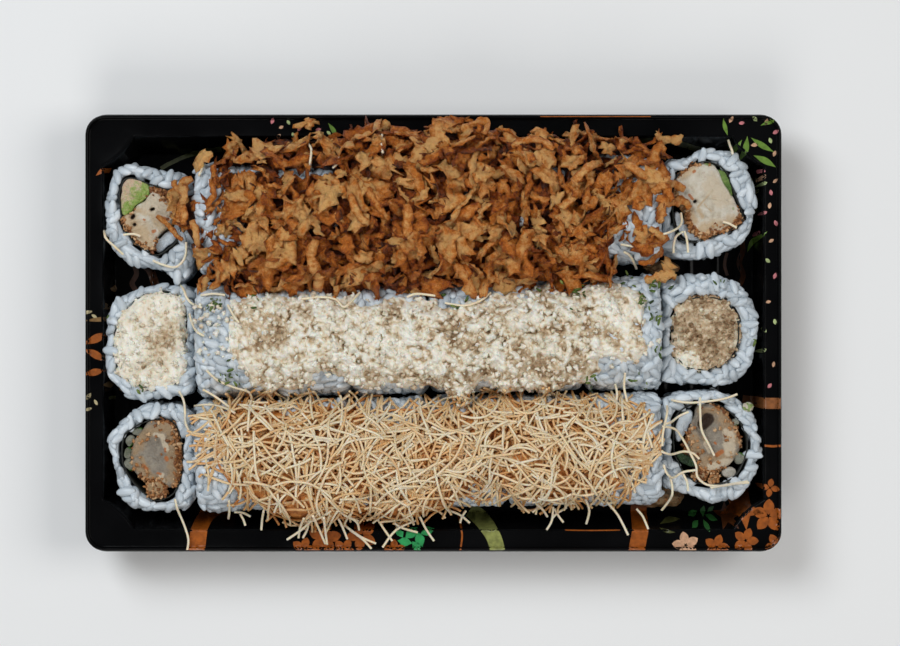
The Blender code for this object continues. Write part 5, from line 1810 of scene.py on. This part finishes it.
def flakeVariants():
    rng = np.random.default_rng(5)
    made = [shardVariant(number, rng) for number in range(onion["shards"])]
    return made + [curlVariant(number, rng) for number in range(onion["curls"])]


onionLook = onionMaterial()
flakes = flakeVariants()
flakeGroup = scatterTree("onionScatter", variantCollection("flakeKinds", flakes), onionLook)


def buildOnions():
    heap = heaps["onion"]

    def coreHeight(x, y):
        edge = min(1.0, max(0.0, clearOfEdge(heap, x, y)) / 4.0)
        lump = 1.3 * fbm(x * mm, y * mm, 0.28, 31, 3)
        return heapTop(heap, x, y) - onion["coreDrop"] + lump - 3.5 * gapShare(heap, x, y) - 2.5 * (1 - edge)

    vertices, faces, _ = heapGrid(heap, 1.1, 1.1, coreHeight, foot=heapFoot)
    # The core under the flakes is coloured very dark: painted shade in the gaps between the flakes, carried by its
    # low tone and its charring attribute set to one.
    core = meshObject(
        "fried_onion_core", vertices, faces, onionLook,
        attributes={"tone": np.full(len(vertices), -0.6), "charAndShade": np.ones(len(vertices))},
    )
    finishPiece(core, "fried_onion", "fried_onion")
    sheet, sheetFaces, sheetPlaces = heapGrid(heap, 1.6, 1.6, lambda x, y: heapTop(heap, x, y) - 1.0)
    cover = []
    for x, y in sheetPlaces:
        inside = clearOfEdge(heap, x, y)
        share = min(1.0, 0.25 + 0.22 * max(0.0, inside)) * (1 - 0.97 * gapShare(heap, x, y))
        cover.append(share * (0.6 if x > 60 or x < -68 else 1.0))
    surface = meshObject("onion_sheet", sheet, sheetFaces, attributes={"cover": cover})
    layers = [
        scatter(
            "onion_low", surface, flakeGroup,
            spreadValues(onion["spacing"] * 1.25, onion["density"], 2, (0.6, 1.0), onion["tilt"], (-3.0, -1.2)),
        ),
        scatter(
            "onion_high", surface, flakeGroup,
            spreadValues(onion["spacing"] * 1.35, onion["density"], 5, (0.6, 1.15), onion["tilt"], (-0.8, 1.2)),
        ),
    ]
    dropObjects(surface)
    # The lower layer of flakes is darkened: painted shade under the upper flakes.
    shiftTone(layers[0], 0.7, -0.45)
    for number, (x, y, reach, gap) in enumerate(onion["patches"]):
        z = (
            restHeight + 0.4
            if y > 56
            else max(rollTop(x * mm, y * mm) / mm if abs(x) < standingReach else 0.0, 25.6) + 0.8
        )
        corners = [
            ((x + sx * reach) * mm, (y + sy * reach) * mm, z * mm) for sx, sy in ((-1, -1), (1, -1), (1, 1), (-1, 1))
        ]
        patch = meshObject("onion_patch", corners, [(0, 1, 2, 3)], attributes={"cover": np.ones(4)})
        layers.append(
            scatter(
                f"onion_patch_{number}", patch, flakeGroup,
                spreadValues(gap, onion["density"], 90 + number, (0.55, 0.9), 0.6, (0.0, 0.9)),
            )
        )
        dropObjects(patch)
    layers += [bandFlake(number, width, corners) for number, (width, corners) in enumerate(onion["bands"])]
    flakesMade = joinObjects("fried_onion_flakes", layers)
    keepInside(flakesMade)
    print("onion flakes", triangles(flakesMade), "triangles")
    finishPiece(flakesMade, "fried_onion")


buildOnions()
print("fried onion")

# Tempura crumbs

crumb = {
    "kinds": 6,
    "size": 0.85,
    "spacing": 1.9,
    "reliefStep": 0.32,
    "relief": 1.0,
    "colours": [
        (0.31, (0.22, 0.125, 0.055)), (0.40, (0.54, 0.40, 0.25)), (0.48, (0.79, 0.70, 0.54)),
        (0.61, (0.90, 0.87, 0.78)),
    ],
    "mounds": {"crumb_left": (0.5, 2.6), "crumb_right": (0.1, 1.8)},
    "darkening": {
        # how much darker, and where on the mound
        "crumb_left": (-0.5, lambda x, y: max(0.0, 1 - math.hypot((x + 82.5) / 6.0, (y + 1.5) / 9.0)) ** 0.5),
        # The right mound is darker everywhere except one spot: painted shade between its sparse crumbs. The left
        # mound is darker towards its middle.
        "crumb_right": (-0.5, lambda x, y: 0.25 if math.hypot(x - 78, y + 9.5) < 4.0 else 1.0),
    },
}


def crumbMaterial():
    material, tree, shader = newMaterial("tempura_crumb", Roughness=0.7, Subsurface_Weight=0.15)
    shader.inputs["Subsurface Scale"].default_value = 0.0008
    tone = mathValue(tree, "MULTIPLY", attributeValue(tree, "tone"), 0.3)
    tone = mathValue(tree, "ADD", tone, mathValue(tree, "MULTIPLY", noiseValue(tree, 120, 3, 0.55), 0.33))
    tone = mathValue(tree, "ADD", tone, mathValue(tree, "MULTIPLY", noiseValue(tree, 480, 4, 0.7), 0.40))
    tree.links.new(ramp(tree, tone, crumb["colours"]), shader.inputs["Base Color"])
    bump(tree, shader, noiseValue(tree, 1500, 4, 0.65), 0.6, 0.0005)
    return material


def crumbVariants():
    crumbs = []
    for number in range(crumb["kinds"]):
        def place(way):
            swell = 1 + 1.1 * noise.noise(way * 1.4 + Vector((number * 7.3, 0, 0)))
            swell += 0.6 * noise.noise(way * 3.6 + Vector((0, number * 5.1, 0)))
            way *= crumb["size"] * mm * swell
            way.z *= 0.8
            return way

        crumbs.append(lumpObject(f"crumb_{number}", 2, place))
    return crumbs


crumbLook = crumbMaterial()
crumbKinds = crumbVariants()
crumbGroup = scatterTree("crumbScatter", variantCollection("crumbKinds", crumbKinds), crumbLook)


def crumbRelief(x, y, seed):  # popcorn-like lumps at three sizes, in mm
    bend = 0.7 * noise.noise(Vector((x * 0.3, y * 0.3, seed)))
    total = 0.0
    for often, weight in ((0.15, 1.3), (0.40, 1.15), (0.95, 0.6)):
        gap = min(0.78, noise.voronoi(Vector((x * often + bend, y * often - bend, seed + often)))[0][0])
        total += weight * (1 - 2.3 * gap * gap)
    return crumb["relief"] * (total - 0.3)


def buildCrumbs():
    heap = heaps["crumb"]

    def height(x, y):
        edge = min(1.0, max(0.0, clearOfEdge(heap, x, y)) / 3.0)
        relief, thin = crumbRelief(x, y, 5), 2.5 * gapShare(heap, x, y)
        bed = rollTop(x * mm, y * mm) / mm + 0.5 + 0.5 * relief - 1.5 * (1 - edge)
        return max(heapTop(heap, x, y) - 1.3 + relief * (0.5 + 0.5 * edge) - 0.9 * (1 - edge), bed) - thin

    vertices, faces, places = heapGrid(heap, crumb["reliefStep"], crumb["reliefStep"], height, foot=heapFoot)
    # Tone falls with the relief: painted shade in the hollows between the lumps, down to the brown lowest colours.
    reliefShade = [min(0.7, max(0.12, 0.06 + 0.50 * crumbRelief(x, y, 5))) for x, y in places]
    core = meshObject("tempura_crumb_core", vertices, faces, crumbLook, attributes={"tone": reliefShade + reliefShade})
    print("crumb core", len(faces) * 2, "triangles")
    finishPiece(core, "tempura_crumbs", "tempura_crumbs")
    wider = {**heap, "left": heap["left"] - 11.0, "right": heap["right"] + 2.0}
    sheet, sheetFaces, sheetPlaces = heapGrid(
        wider, 1.4, 1.4,
        lambda x, y: max(heapTop(heap, x, y) - 1.0 + 0.7 * crumbRelief(x, y, 5), rollTop(x * mm, y * mm) / mm + 0.4),
    )
    cover = []
    for x, y in sheetPlaces:
        inside = clearOfEdge(heap, x, y)
        cover.append(
            (0.85 if -8.5 < inside and x < -45 else 0.30)
            if inside < -0.5
            else min(1.0, 0.45 + 0.2 * inside) * (1 - 0.8 * gapShare(heap, x, y))
        )
    surface = meshObject("crumb_sheet", sheet, sheetFaces, attributes={"cover": cover})
    loose = scatter(
        "tempura_crumbs_loose", surface, crumbGroup,
        spreadValues(crumb["spacing"], 900000.0, 4, (0.4, 1.2), 3.0, (-0.8, 0.6)),
    )
    keepInside(loose)
    shiftTone(loose, 0.4, 0.38)
    finishPiece(loose, "tempura_crumbs")
    dropObjects(surface)
    for number, (place, (spread, rise)) in enumerate(crumb["mounds"].items()):
        wrap = smoothLoop(endSlices[place]["nori"], 96, wobble=1.2, seed=70 + number)
        outline = offsetLoop(wrap, spread * mm)
        middle = outline.mean(axis=0)
        rings, cover = [lift(outline, (foodPlan["cutFace"] - 3.0) * mm)], [0.0]
        for share in np.linspace(1.0, 0.02, 34):
            ring = middle + (outline - middle) * share
            zs = []
            for p in ring:
                x, y = p / mm
                dome = rise * (1 - share ** 2.2)
                zs.append(
                    foodPlan["cutFace"]
                    - 0.6
                    + dome
                    + crumbRelief(x, y, 15 + number) * (0.7 if share < 0.95 else 0.25) * 0.8
                )
            rings.append(lift(ring, np.array(zs) * mm))
            cover.append(1.0)
        low = lift(offsetLoop(outline, -1.0 * mm), (foodPlan["cutFace"] - 3.2) * mm)
        stack = [low] + rings
        vertices = np.vstack(stack)
        mound = meshObject(
            f"crumb_mound_{number}_core", vertices, loftFaces(len(stack), 96), crumbLook,
            attributes={"tone": np.full(len(vertices), 0.6), "cover": np.repeat(np.array([0.0] + cover), 96)},
        )
        # Darker tone on the mounds; on the right mound this is painted shade.
        darkening, where = crumb["darkening"][place]
        shiftTone(mound, 1.0, darkening, where)
        finishPiece(mound, "tempura_crumbs", f"crumb_mound_{place.split('_')[1]}", f"core_{place}")
        dust = scatter(
            f"crumb_mound_{number}_loose", mound, crumbGroup,
            spreadValues(1.5, 700000.0, 6 + number, (0.45, 1.15), 3.0, (-0.5, 0.35)),
        )
        shiftTone(dust, 0.5, 0.3)
        shiftTone(dust, 1.0, darkening, where)
        finishPiece(dust, "tempura_crumbs")


buildCrumbs()
print("tempura crumbs")

# Loose breaded pieces on the floor

chunks = {
    "loose_chunk_front": ((70.6, -51.2, 7.7), (8.2, 3.0, 4.8)),
    "loose_chunk_middle": ((70.8, 20.2, 7.7), (6.0, 2.2, 4.8)),
    "green_bit_right": ((96.3, -22.6, 24.4), (1.7, 1.5, 1.3)),
}


def buildChunks():
    for number, (name, (middle, half)) in enumerate(chunks.items()):
        def place(way):
            swell = 1 + 0.25 * noise.noise(way * 1.6 + Vector((number * 3.0, 0, 0)))
            swell += 0.12 * noise.noise(way * 5.0)
            swell += 0.07 * noise.noise(way * 13.0)
            return Vector([(m + h * w * swell) * mm for m, h, w in zip(middle, half, way)])

        chunk = lumpObject(f"{name}_piece", 5, place)
        mesh = chunk.data
        mesh.shade_smooth()
        green = name.startswith("green")
        mesh.materials.append(fillingLooks["chicken" if green else "crumbed"])
        values = [
            min(1.0, max(0.0, 0.45 + 3.0 * noise.noise(v.co / mm * 0.8))) if green else 0.45 for v in mesh.vertices
        ]
        layer = mesh.attributes.new("green" if green else "crust", "FLOAT", "POINT")
        layer.data.foreach_set("value", np.array(values, np.float32))
        finishPiece(chunk, "greens" if green else "cutlet", *([] if green else [name]))


buildChunks()

# Crisp noodle threads

noodle = {
    "count": 1560,
    "length": (8.0, 21.0),
    "step": 1.5,
    "radius": 0.40,
    "bend": 0.16,
    "coreDrop": 2.6,
    "coreColours": [(0.3, (0.32, 0.09, 0.012)), (0.55, (0.66, 0.25, 0.05)), (0.8, (0.76, 0.42, 0.15))],
    "colours": [
        (0.10, (0.44, 0.155, 0.032)), (0.34, (0.69, 0.37, 0.14)), (0.58, (0.81, 0.585, 0.34)),
        (0.85, (0.87, 0.75, 0.56)),
    ],
    "strays": [
        # places in mm that a loose thread passes through
        [(-77.6, -17.6), (-76.4, -20.5), (-75.8, -24.0), (-75.6, -27.5), (-74.2, -30.5)],
        [(-78.8, -50.6), (-77.9, -54.5), (-76.2, -59.5), (-75.2, -63.5), (-75.6, -66.9)],
        [(-78.5, 15.2), (-76.6, 13.6), (-75.0, 10.4), (-73.2, 8.8), (-70.2, 7.8)],
        [(-74.4, 6.0), (-73.6, 3.2), (-71.8, 0.6), (-69.4, -0.8)],
        [(-101.2, 31.4), (-99.6, 28.6), (-97.2, 26.4), (-94.6, 24.0)],
        [(-94.6, 30.0), (-91.6, 30.3), (-89.4, 29.6)],
        [(-85.6, 22.2), (-82.8, 21.0), (-78.6, 20.2), (-75.8, 23.2), (-75.4, 27.8)],
        [(-70.2, 51.8), (-70.9, 49.2), (-72.2, 46.8)],
        [(-15.6, 60.5), (-15.8, 57.4), (-15.2, 54.5)],
        [(90.7, 59.2), (90.9, 57.2), (91.4, 54.6)],
        [(75.6, 36.8), (75.8, 33.9), (74.4, 32.0), (71.0, 30.4), (68.6, 29.9)],
        [(76.2, 31.0), (74.2, 29.6), (73.4, 27.0), (73.4, 24.4)],
        [(76.6, 31.2), (77.4, 28.6), (77.8, 24.6)],
        [(88.4, 34.0), (90.4, 33.4), (92.6, 32.2)],
        [(72.6, -20.4), (77.8, -21.2), (83.6, -20.8), (88.8, -20.0), (92.8, -18.6)],
        [(81.4, -19.6), (81.5, -24.5), (81.9, -29.5), (84.0, -33.8), (85.8, -37.4)],
        [(70.2, -27.4), (72.4, -27.0), (75.0, -25.3), (77.9, -24.0)],
        [
            (69.4, -28.2), (73.6, -29.2), (76.4, -32.8), (78.4, -36.6), (80.2, -40.4), (80.6, -43.8), (83.4, -46.2),
            (88.0, -46.6), (92.4, -45.9), (96.4, -45.6),
        ],
        [(69.0, -35.8), (72.4, -36.8), (76.2, -36.1), (79.2, -36.6), (81.2, -38.4)],
        [(80.2, -41.8), (76.2, -42.4), (73.0, -44.0), (70.8, -42.4), (69.8, -39.8)],
        [(72.4, -44.0), (73.0, -47.6), (72.6, -50.6), (70.2, -54.4)],
        [(71.6, -21.5), (70.9, -25.0), (69.6, -30.4), (69.4, -34.2)],
        [(84.6, -47.2), (90.0, -46.2), (96.0, -45.2)],
        [(62.4, -54.0), (64.4, -56.4), (66.0, -60.2)],
        [(76.0, -42.6), (77.4, -45.2), (77.8, -48.2)],
        [(-51.5, -53.5), (-52.4, -57.0), (-52.8, -60.4)],
        [(-37.0, -57.0), (-40.6, -60.4), (-44.9, -63.4)],
        [(-39.4, -56.4), (-40.8, -59.6), (-41.4, -62.8)],
        [(-37.8, -57.0), (-38.6, -60.0), (-40.0, -62.8)],
        [(-36.4, -55.4), (-35.0, -59.6), (-33.2, -64.6)],
        [(-33.2, -56.0), (-33.0, -60.4), (-32.6, -64.8)],
        [(-29.0, -56.6), (-27.8, -59.6), (-26.4, -63.2)],
        [(-26.8, -55.4), (-23.6, -57.6), (-22.8, -60.4)],
        [(-25.6, -60.4), (-21.6, -63.4), (-19.0, -66.2)],
        [(-28.8, -58.0), (-24.0, -61.4), (-21.4, -63.0), (-17.6, -64.6)],
        [(-5.4, -57.6), (-11.4, -60.4), (-15.6, -65.8)],
        [(-17.4, -56.8), (-15.0, -60.4), (-12.6, -63.8)],
        [(-13.0, -56.8), (-10.6, -59.4), (-4.8, -61.2)],
        [(-4.2, -56.0), (-2.2, -60.2), (0.2, -63.8)],
        [(4.2, -54.4), (8.0, -55.8), (11.2, -58.4)],
        [(10.0, -54.6), (8.8, -56.4), (8.2, -58.4)],
        [(36.8, -53.4), (36.4, -57.6), (34.8, -60.4)],
        [(41.0, -53.6), (38.0, -55.4), (36.4, -57.2)],
        [(37.2, -54.0), (38.6, -56.4), (40.0, -58.2)],
        [(31.4, -52.0), (33.6, -54.2), (35.0, -56.4)],
        [(46.4, -50.6), (47.8, -54.4), (47.0, -58.6)],
        [(53.0, -51.6), (56.6, -55.8), (59.8, -62.0)],
        [(-62.2, -51.0), (-62.4, -54.6), (-63.0, -57.0)],
        [(-61.2, -55.0), (-58.6, -55.2), (-56.2, -56.4)],
        [(-59.4, -55.6), (-58.4, -57.4), (-57.8, -59.2)],
        [(-73.4, -22.4), (-70.2, -21.9), (-66.8, -22.0)],
        [(-68.8, -11.2), (-65.4, -14.4), (-60.4, -16.6), (-56.4, -18.0), (-55.6, -20.4)],
        [(-70.2, -17.2), (-66.4, -19.4), (-61.8, -22.6)],
        [(-62.4, 8.6), (-60.6, 5.6), (-58.8, 3.2)],
        [(-71.4, 11.4), (-67.2, 12.0), (-63.4, 11.6)],
        [(55.6, -15.6), (56.2, -18.4), (55.8, -21.2)],
        [(58.4, -12.2), (58.2, -16.4), (59.2, -21.0)],
        [(-40.0, 10.4), (-34.0, 11.0), (-29.4, 10.2), (-26.8, 8.0), (-22.4, 12.4)],
        [(-8.0, 11.0), (-5.0, 12.0), (0.6, 11.4)],
        [(3.6, 9.2), (9.4, 8.4), (14.2, 9.8), (17.4, 12.4)],
        [(-38.2, 57.8), (-37.0, 55.6), (-37.4, 50.6)],
        [(-30.4, 50.0), (-28.8, 51.6), (-28.4, 53.2)],
        [(57.0, 27.0), (60.6, 26.4), (63.8, 25.6), (64.6, 23.4)],
        [(58.0, 24.8), (60.2, 23.4), (62.4, 19.8)],
    ],
}


def noodleMaterial():
    material, tree, shader = newMaterial("noodle_thread", Roughness=0.42, Subsurface_Weight=0.3)
    shader.inputs["Subsurface Radius"].default_value = (1.0, 0.6, 0.3)
    shader.inputs["Subsurface Scale"].default_value = 0.0012
    tone = mathValue(tree, "MULTIPLY", attributeValue(tree, "tone"), 0.6)
    tone = mathValue(tree, "ADD", tone, mathValue(tree, "MULTIPLY", noiseValue(tree, 150, 3, 0.6), 0.5))
    tree.links.new(ramp(tree, tone, noodle["colours"]), shader.inputs["Base Color"])
    bump(tree, shader, noiseValue(tree, 1600, 3), 0.3, 0.0003)
    return material


def threadTree(material):
    tree = bpy.data.node_groups.new("threads", "GeometryNodeTree")
    tree.interface.new_socket("Lines", in_out="INPUT", socket_type="NodeSocketGeometry")
    radius = tree.interface.new_socket("Radius", in_out="INPUT", socket_type="NodeSocketFloat")
    sides = tree.interface.new_socket("Sides", in_out="INPUT", socket_type="NodeSocketInt")
    tree.interface.new_socket("Threads", in_out="OUTPUT", socket_type="NodeSocketGeometry")
    given = tree.nodes.new("NodeGroupInput").outputs
    result = tree.nodes.new("NodeGroupOutput")
    lines = addNode(tree, "GeometryNodeMeshToCurve", {"Mesh": given["Lines"]})
    profile = addNode(
        tree, "GeometryNodeCurvePrimitiveCircle", {"Resolution": given["Sides"], "Radius": given["Radius"]}
    )
    tubes = addNode(
        tree, "GeometryNodeCurveToMesh",
        {"Curve": lines.outputs[0], "Profile Curve": profile.outputs[0], "Fill Caps": True},
    )
    real = addNode(tree, "GeometryNodeRealizeInstances", {"Geometry": tubes.outputs[0]})
    coated = addNode(tree, "GeometryNodeSetMaterial", {"Geometry": real.outputs[0], "Material": material})
    tree.links.new(coated.outputs[0], result.inputs[0])
    return tree, radius.identifier, sides.identifier


noodleLook = noodleMaterial()


def buildThreads():
    heap = heaps["noodle"]
    rng = np.random.default_rng(17)
    lines = []
    for _ in range(noodle["count"]):
        x = rng.uniform(heap["left"] - 0.5, heap["right"])
        back, front = heapEdges(heap, x)
        share = rng.uniform(0.0, 1.0)
        y = back + (front - back) * share
        if (
            rng.random() < gapShare(heap, x, y) * 0.92
            or rng.random() < 0.5 * max(0.0, 1 - clearOfEdge(heap, x, y) / 3.0)
        ):
            continue
        heading = rng.uniform(0, 2 * math.pi)
        bend = rng.normal(0, noodle["bend"] * 0.6)
        length = rng.uniform(*noodle["length"]) * (0.8 if rng.random() < 0.4 else 1.0)
        depth = rng.uniform(-0.4, 2.6)
        slant = rng.normal(0, 0.05)
        points = []
        for k in range(int(length / noodle["step"]) + 1):
            limitBack, limitFront = heapEdges(heap, x)
            over = max(limitFront - y, y - limitBack, 0.0)
            if over > 3.2 or x > heap["right"] + 2.0 or x < heap["left"] - 3.0:
                break
            z = heapTop(heap, x, y) - depth + 1.5 * fbm(x * mm, y * mm, 0.14, 23, 2) + slant * k * noodle["step"]
            if over > 0:
                z = max(z - 0.35 * over, restingHeight(x, y) + 0.5)
            z = max(z, rollTop(x * mm, y * mm) / mm + 0.3)
            points.append((x * mm, y * mm, min(z, 41.2) * mm))
            bend += rng.normal(0, noodle["bend"] * 0.45)
            bend *= 0.85
            heading += bend
            x += noodle["step"] * math.cos(heading)
            y += noodle["step"] * math.sin(heading)
        if len(points) > 4:
            # Deeper threads get a lower tone: painted shade inside the heap, added to a random tone.
            lines.append((points, rng.uniform(0.42, 0.96) - 0.75 * max(0.0, depth) / 2.6))
    for stray in noodle["strays"]:
        points = [(p[0] * mm, p[1] * mm, (restingHeight(*p) + 0.7) * mm) for p in openCurve(stray, 0.25)]
        heights = np.array([p[2] for p in points])
        for _ in range(14):
            heights[1:-1] = np.maximum(heights[1:-1], (heights[:-2] + heights[2:]) / 2)
        points = [(p[0], p[1], max(z, p[2])) for p, z in zip(points, heights)]
        lines.append((points, 0.95))
    vertices, edges, tones = [], [], []
    for points, tone in lines:
        start = len(vertices)
        vertices += points
        tones += [tone] * len(points)
        edges += [(start + k, start + k + 1) for k in range(len(points) - 1)]
    skeleton = meshObject("thread_lines", vertices, [], edges=edges, smooth=False, attributes={"tone": tones})
    tree, radius, sides = threadTree(noodleLook)
    threads = bakeModifier("noodle_threads_loose", skeleton, tree, {radius: noodle["radius"] * mm, sides: 5})
    dropObjects(skeleton)
    print("threads", len(lines), triangles(threads), "triangles")
    keepInside(threads)
    finishPiece(threads, "noodle_threads")

    def coreHeight(x, y):
        edge = min(1.0, max(0.0, clearOfEdge(heap, x, y)) / 4.0)
        return (
            heapTop(heap, x, y)
            - noodle["coreDrop"]
            + 0.9 * fbm(x * mm, y * mm, 0.35, 3, 3)
            - 3.5 * gapShare(heap, x, y)
            - 3.0 * (1 - edge)
        )

    vertices, faces, _ = heapGrid(heap, 1.2, 1.2, coreHeight, foot=heapFoot)
    # The core under the threads is orange-brown: partly the deep-fried colour of the noodles inside the heap, partly
    # painted shade in the gaps between threads.
    material, tree, shader = newMaterial("noodle_depth", Roughness=0.6)
    tree.links.new(ramp(tree, noiseValue(tree, 330, 4, 0.6), noodle["coreColours"]), shader.inputs["Base Color"])
    bump(tree, shader, noiseValue(tree, 900, 3), 0.6, 0.0008)
    core = meshObject("noodle_core", vertices, faces, material)
    finishPiece(core, "noodle_threads", "noodle_threads")


buildThreads()
print("noodle threads")

# Herb flecks over the crumb row

herb = {
    "kinds": 3,
    "size": 0.62,
    "spots": [
        (-65.8, 9.0, 1.9, 22), (-63.0, -12.6, 3.2, 14), (-62.5, -16.2, 3.0, 8), (-54.0, 11.2, 4.0, 5),
        (64.0, 9.8, 2.6, 12),
        (67.4, 5.0, 2.4, 10), (68.6, -4.6, 1.8, 9), (66.4, 14.4, 2.2, 6), (72.0, 16.0, 2.0, 3), (88.0, 15.8, 4.0, 8),
        (98.4, -3.0, 1.2, 4), (-89.4, -17.2, 1.2, 5), (-100.0, 4.6, 0.8, 2), (40.0, 11.4, 6.0, 5),
        (44.0, 13.4, 2.0, 14),
        (5.0, 12.0, 8.0, 5), (50.0, -16.0, 6.0, 6), (62.0, -14.0, 3.5, 5), (96.6, -22.6, 1.1, 5),
        (60.5, 17.0, 3.0, 5),
    ],
    "colours": [(0.2, (0.012, 0.035, 0.004)), (0.5, (0.06, 0.11, 0.012)), (0.8, (0.20, 0.26, 0.05))],
}


def buildHerbs():
    material, tree, shader = newMaterial("herb_fleck", Roughness=0.5)
    tone = mathValue(
        tree, "ADD", mathValue(tree, "MULTIPLY", attributeValue(tree, "tone"), 0.5),
        mathValue(tree, "MULTIPLY", noiseValue(tree, 400, 3), 0.5),
    )
    tree.links.new(ramp(tree, tone, herb["colours"]), shader.inputs["Base Color"])
    bump(tree, shader, noiseValue(tree, 900, 3), 0.4, 0.0003)
    kinds = []
    for number in range(herb["kinds"]):
        def place(way):
            swell = 1 + 0.8 * noise.noise(way * 1.7 + Vector((number * 3.7, 0, 0)))
            return Vector((way.x * 1.5, way.y * 0.65, way.z * 0.3)) * herb["size"] * mm * swell

        kinds.append(lumpObject(f"herb_{number}", 1, place))
    group = scatterTree("herbScatter", variantCollection("herbKinds", kinds), material)
    rng = np.random.default_rng(8)
    vertices, faces = [], []
    for x, y, reach, count in herb["spots"]:
        for _ in range(count):
            px, py = x + rng.normal(0, reach * 0.5), y + rng.normal(0, reach * 0.5)
            z = max(
                restingHeight(px, py) + 0.9,
                heapTop(heaps["crumb"], px, py) + 0.6 if clearOfEdge(heaps["crumb"], px, py) > 0 else 0,
            )
            if abs(px) > 69:
                if not overSlice(px, py):
                    continue
                z = foodPlan["cutFace"] + 1.0
            start = len(vertices)
            vertices += [((px + dx) * mm, (py + dy) * mm, z * mm) for dx, dy in ((-0.3, -0.3), (0.3, -0.3), (0, 0.4))]
            faces.append((start, start + 1, start + 2))
    spots = meshObject("herb_spots", vertices, faces, attributes={"cover": np.ones(len(vertices))})
    flecks = scatter("herb_flecks", spots, group, spreadValues(0.9, 9000000.0, 3, (0.5, 1.3), 0.6, (-0.1, 0.2)))
    dropObjects(spots, *kinds)
    finishPiece(flecks, "greens")


buildHerbs()
dropObjects(*flakes, *crumbKinds)
print("herbs")

# Floor, light and camera

studio = {
    "floorColour": (0.86, 0.86, 0.86),
    "skyColour": (0.9, 0.95, 1.0),
    "skyStrength": 0.12,
    "lamps": [
        # name, place, size, power in watts, colour
        ("lamp_back_left", (-0.55, 0.50, 0.95), 0.55, 8.0, (0.93, 0.97, 1.0)),
        ("lamp_right", (0.70, 0.10, 0.85), 0.55, 4.0, (1.0, 0.98, 0.95)),
        ("lamp_front", (-0.10, -0.75, 0.80), 0.55, 3.2, (1.0, 0.98, 0.95)),
    ],
    "cameraPlace": (0.0051, 0.0031, 0.92),
    "lens": 117.0,
}


def buildStudio():
    floor = meshObject("studio_floor", [(-3, -3, 0), (3, -3, 0), (3, 3, 0), (-3, 3, 0)], [(0, 1, 2, 3)], smooth=False)
    floor.location.z = -0.0002
    material, tree, shader = newMaterial("studio_paper", Roughness=0.8)
    tone = ramp(
        tree, noiseValue(tree, 3, 2),
        [(0.2, tuple(0.985 * c for c in studio["floorColour"])), (0.8, studio["floorColour"])],
    )
    tree.links.new(tone, shader.inputs["Base Color"])
    floor.data.materials.append(material)
    world = bpy.data.worlds.new("studio")
    scene.world = world
    world.use_nodes = True
    background = world.node_tree.nodes["Background"]
    background.inputs["Color"].default_value = (*studio["skyColour"], 1)
    background.inputs["Strength"].default_value = studio["skyStrength"]
    for name, place, size, power, colour in studio["lamps"]:
        lamp = bpy.data.lights.new(name, "AREA")
        lamp.size = size
        lamp.energy = power
        lamp.color = colour
        holder = bpy.data.objects.new(name, lamp)
        holder.location = place
        holder.rotation_euler = (-Vector(place)).to_track_quat("-Z", "Y").to_euler()
        scene.collection.objects.link(holder)
    lens = bpy.data.cameras.new("camera")
    lens.sensor_width = 36
    lens.lens = studio["lens"]
    lens.clip_start = 0.01
    holder = bpy.data.objects.new("camera", lens)
    holder.location = studio["cameraPlace"]
    scene.collection.objects.link(holder)
    scene.camera = holder
    scene.view_settings.view_transform = "Standard"


buildStudio()
dropObjects(*grains)
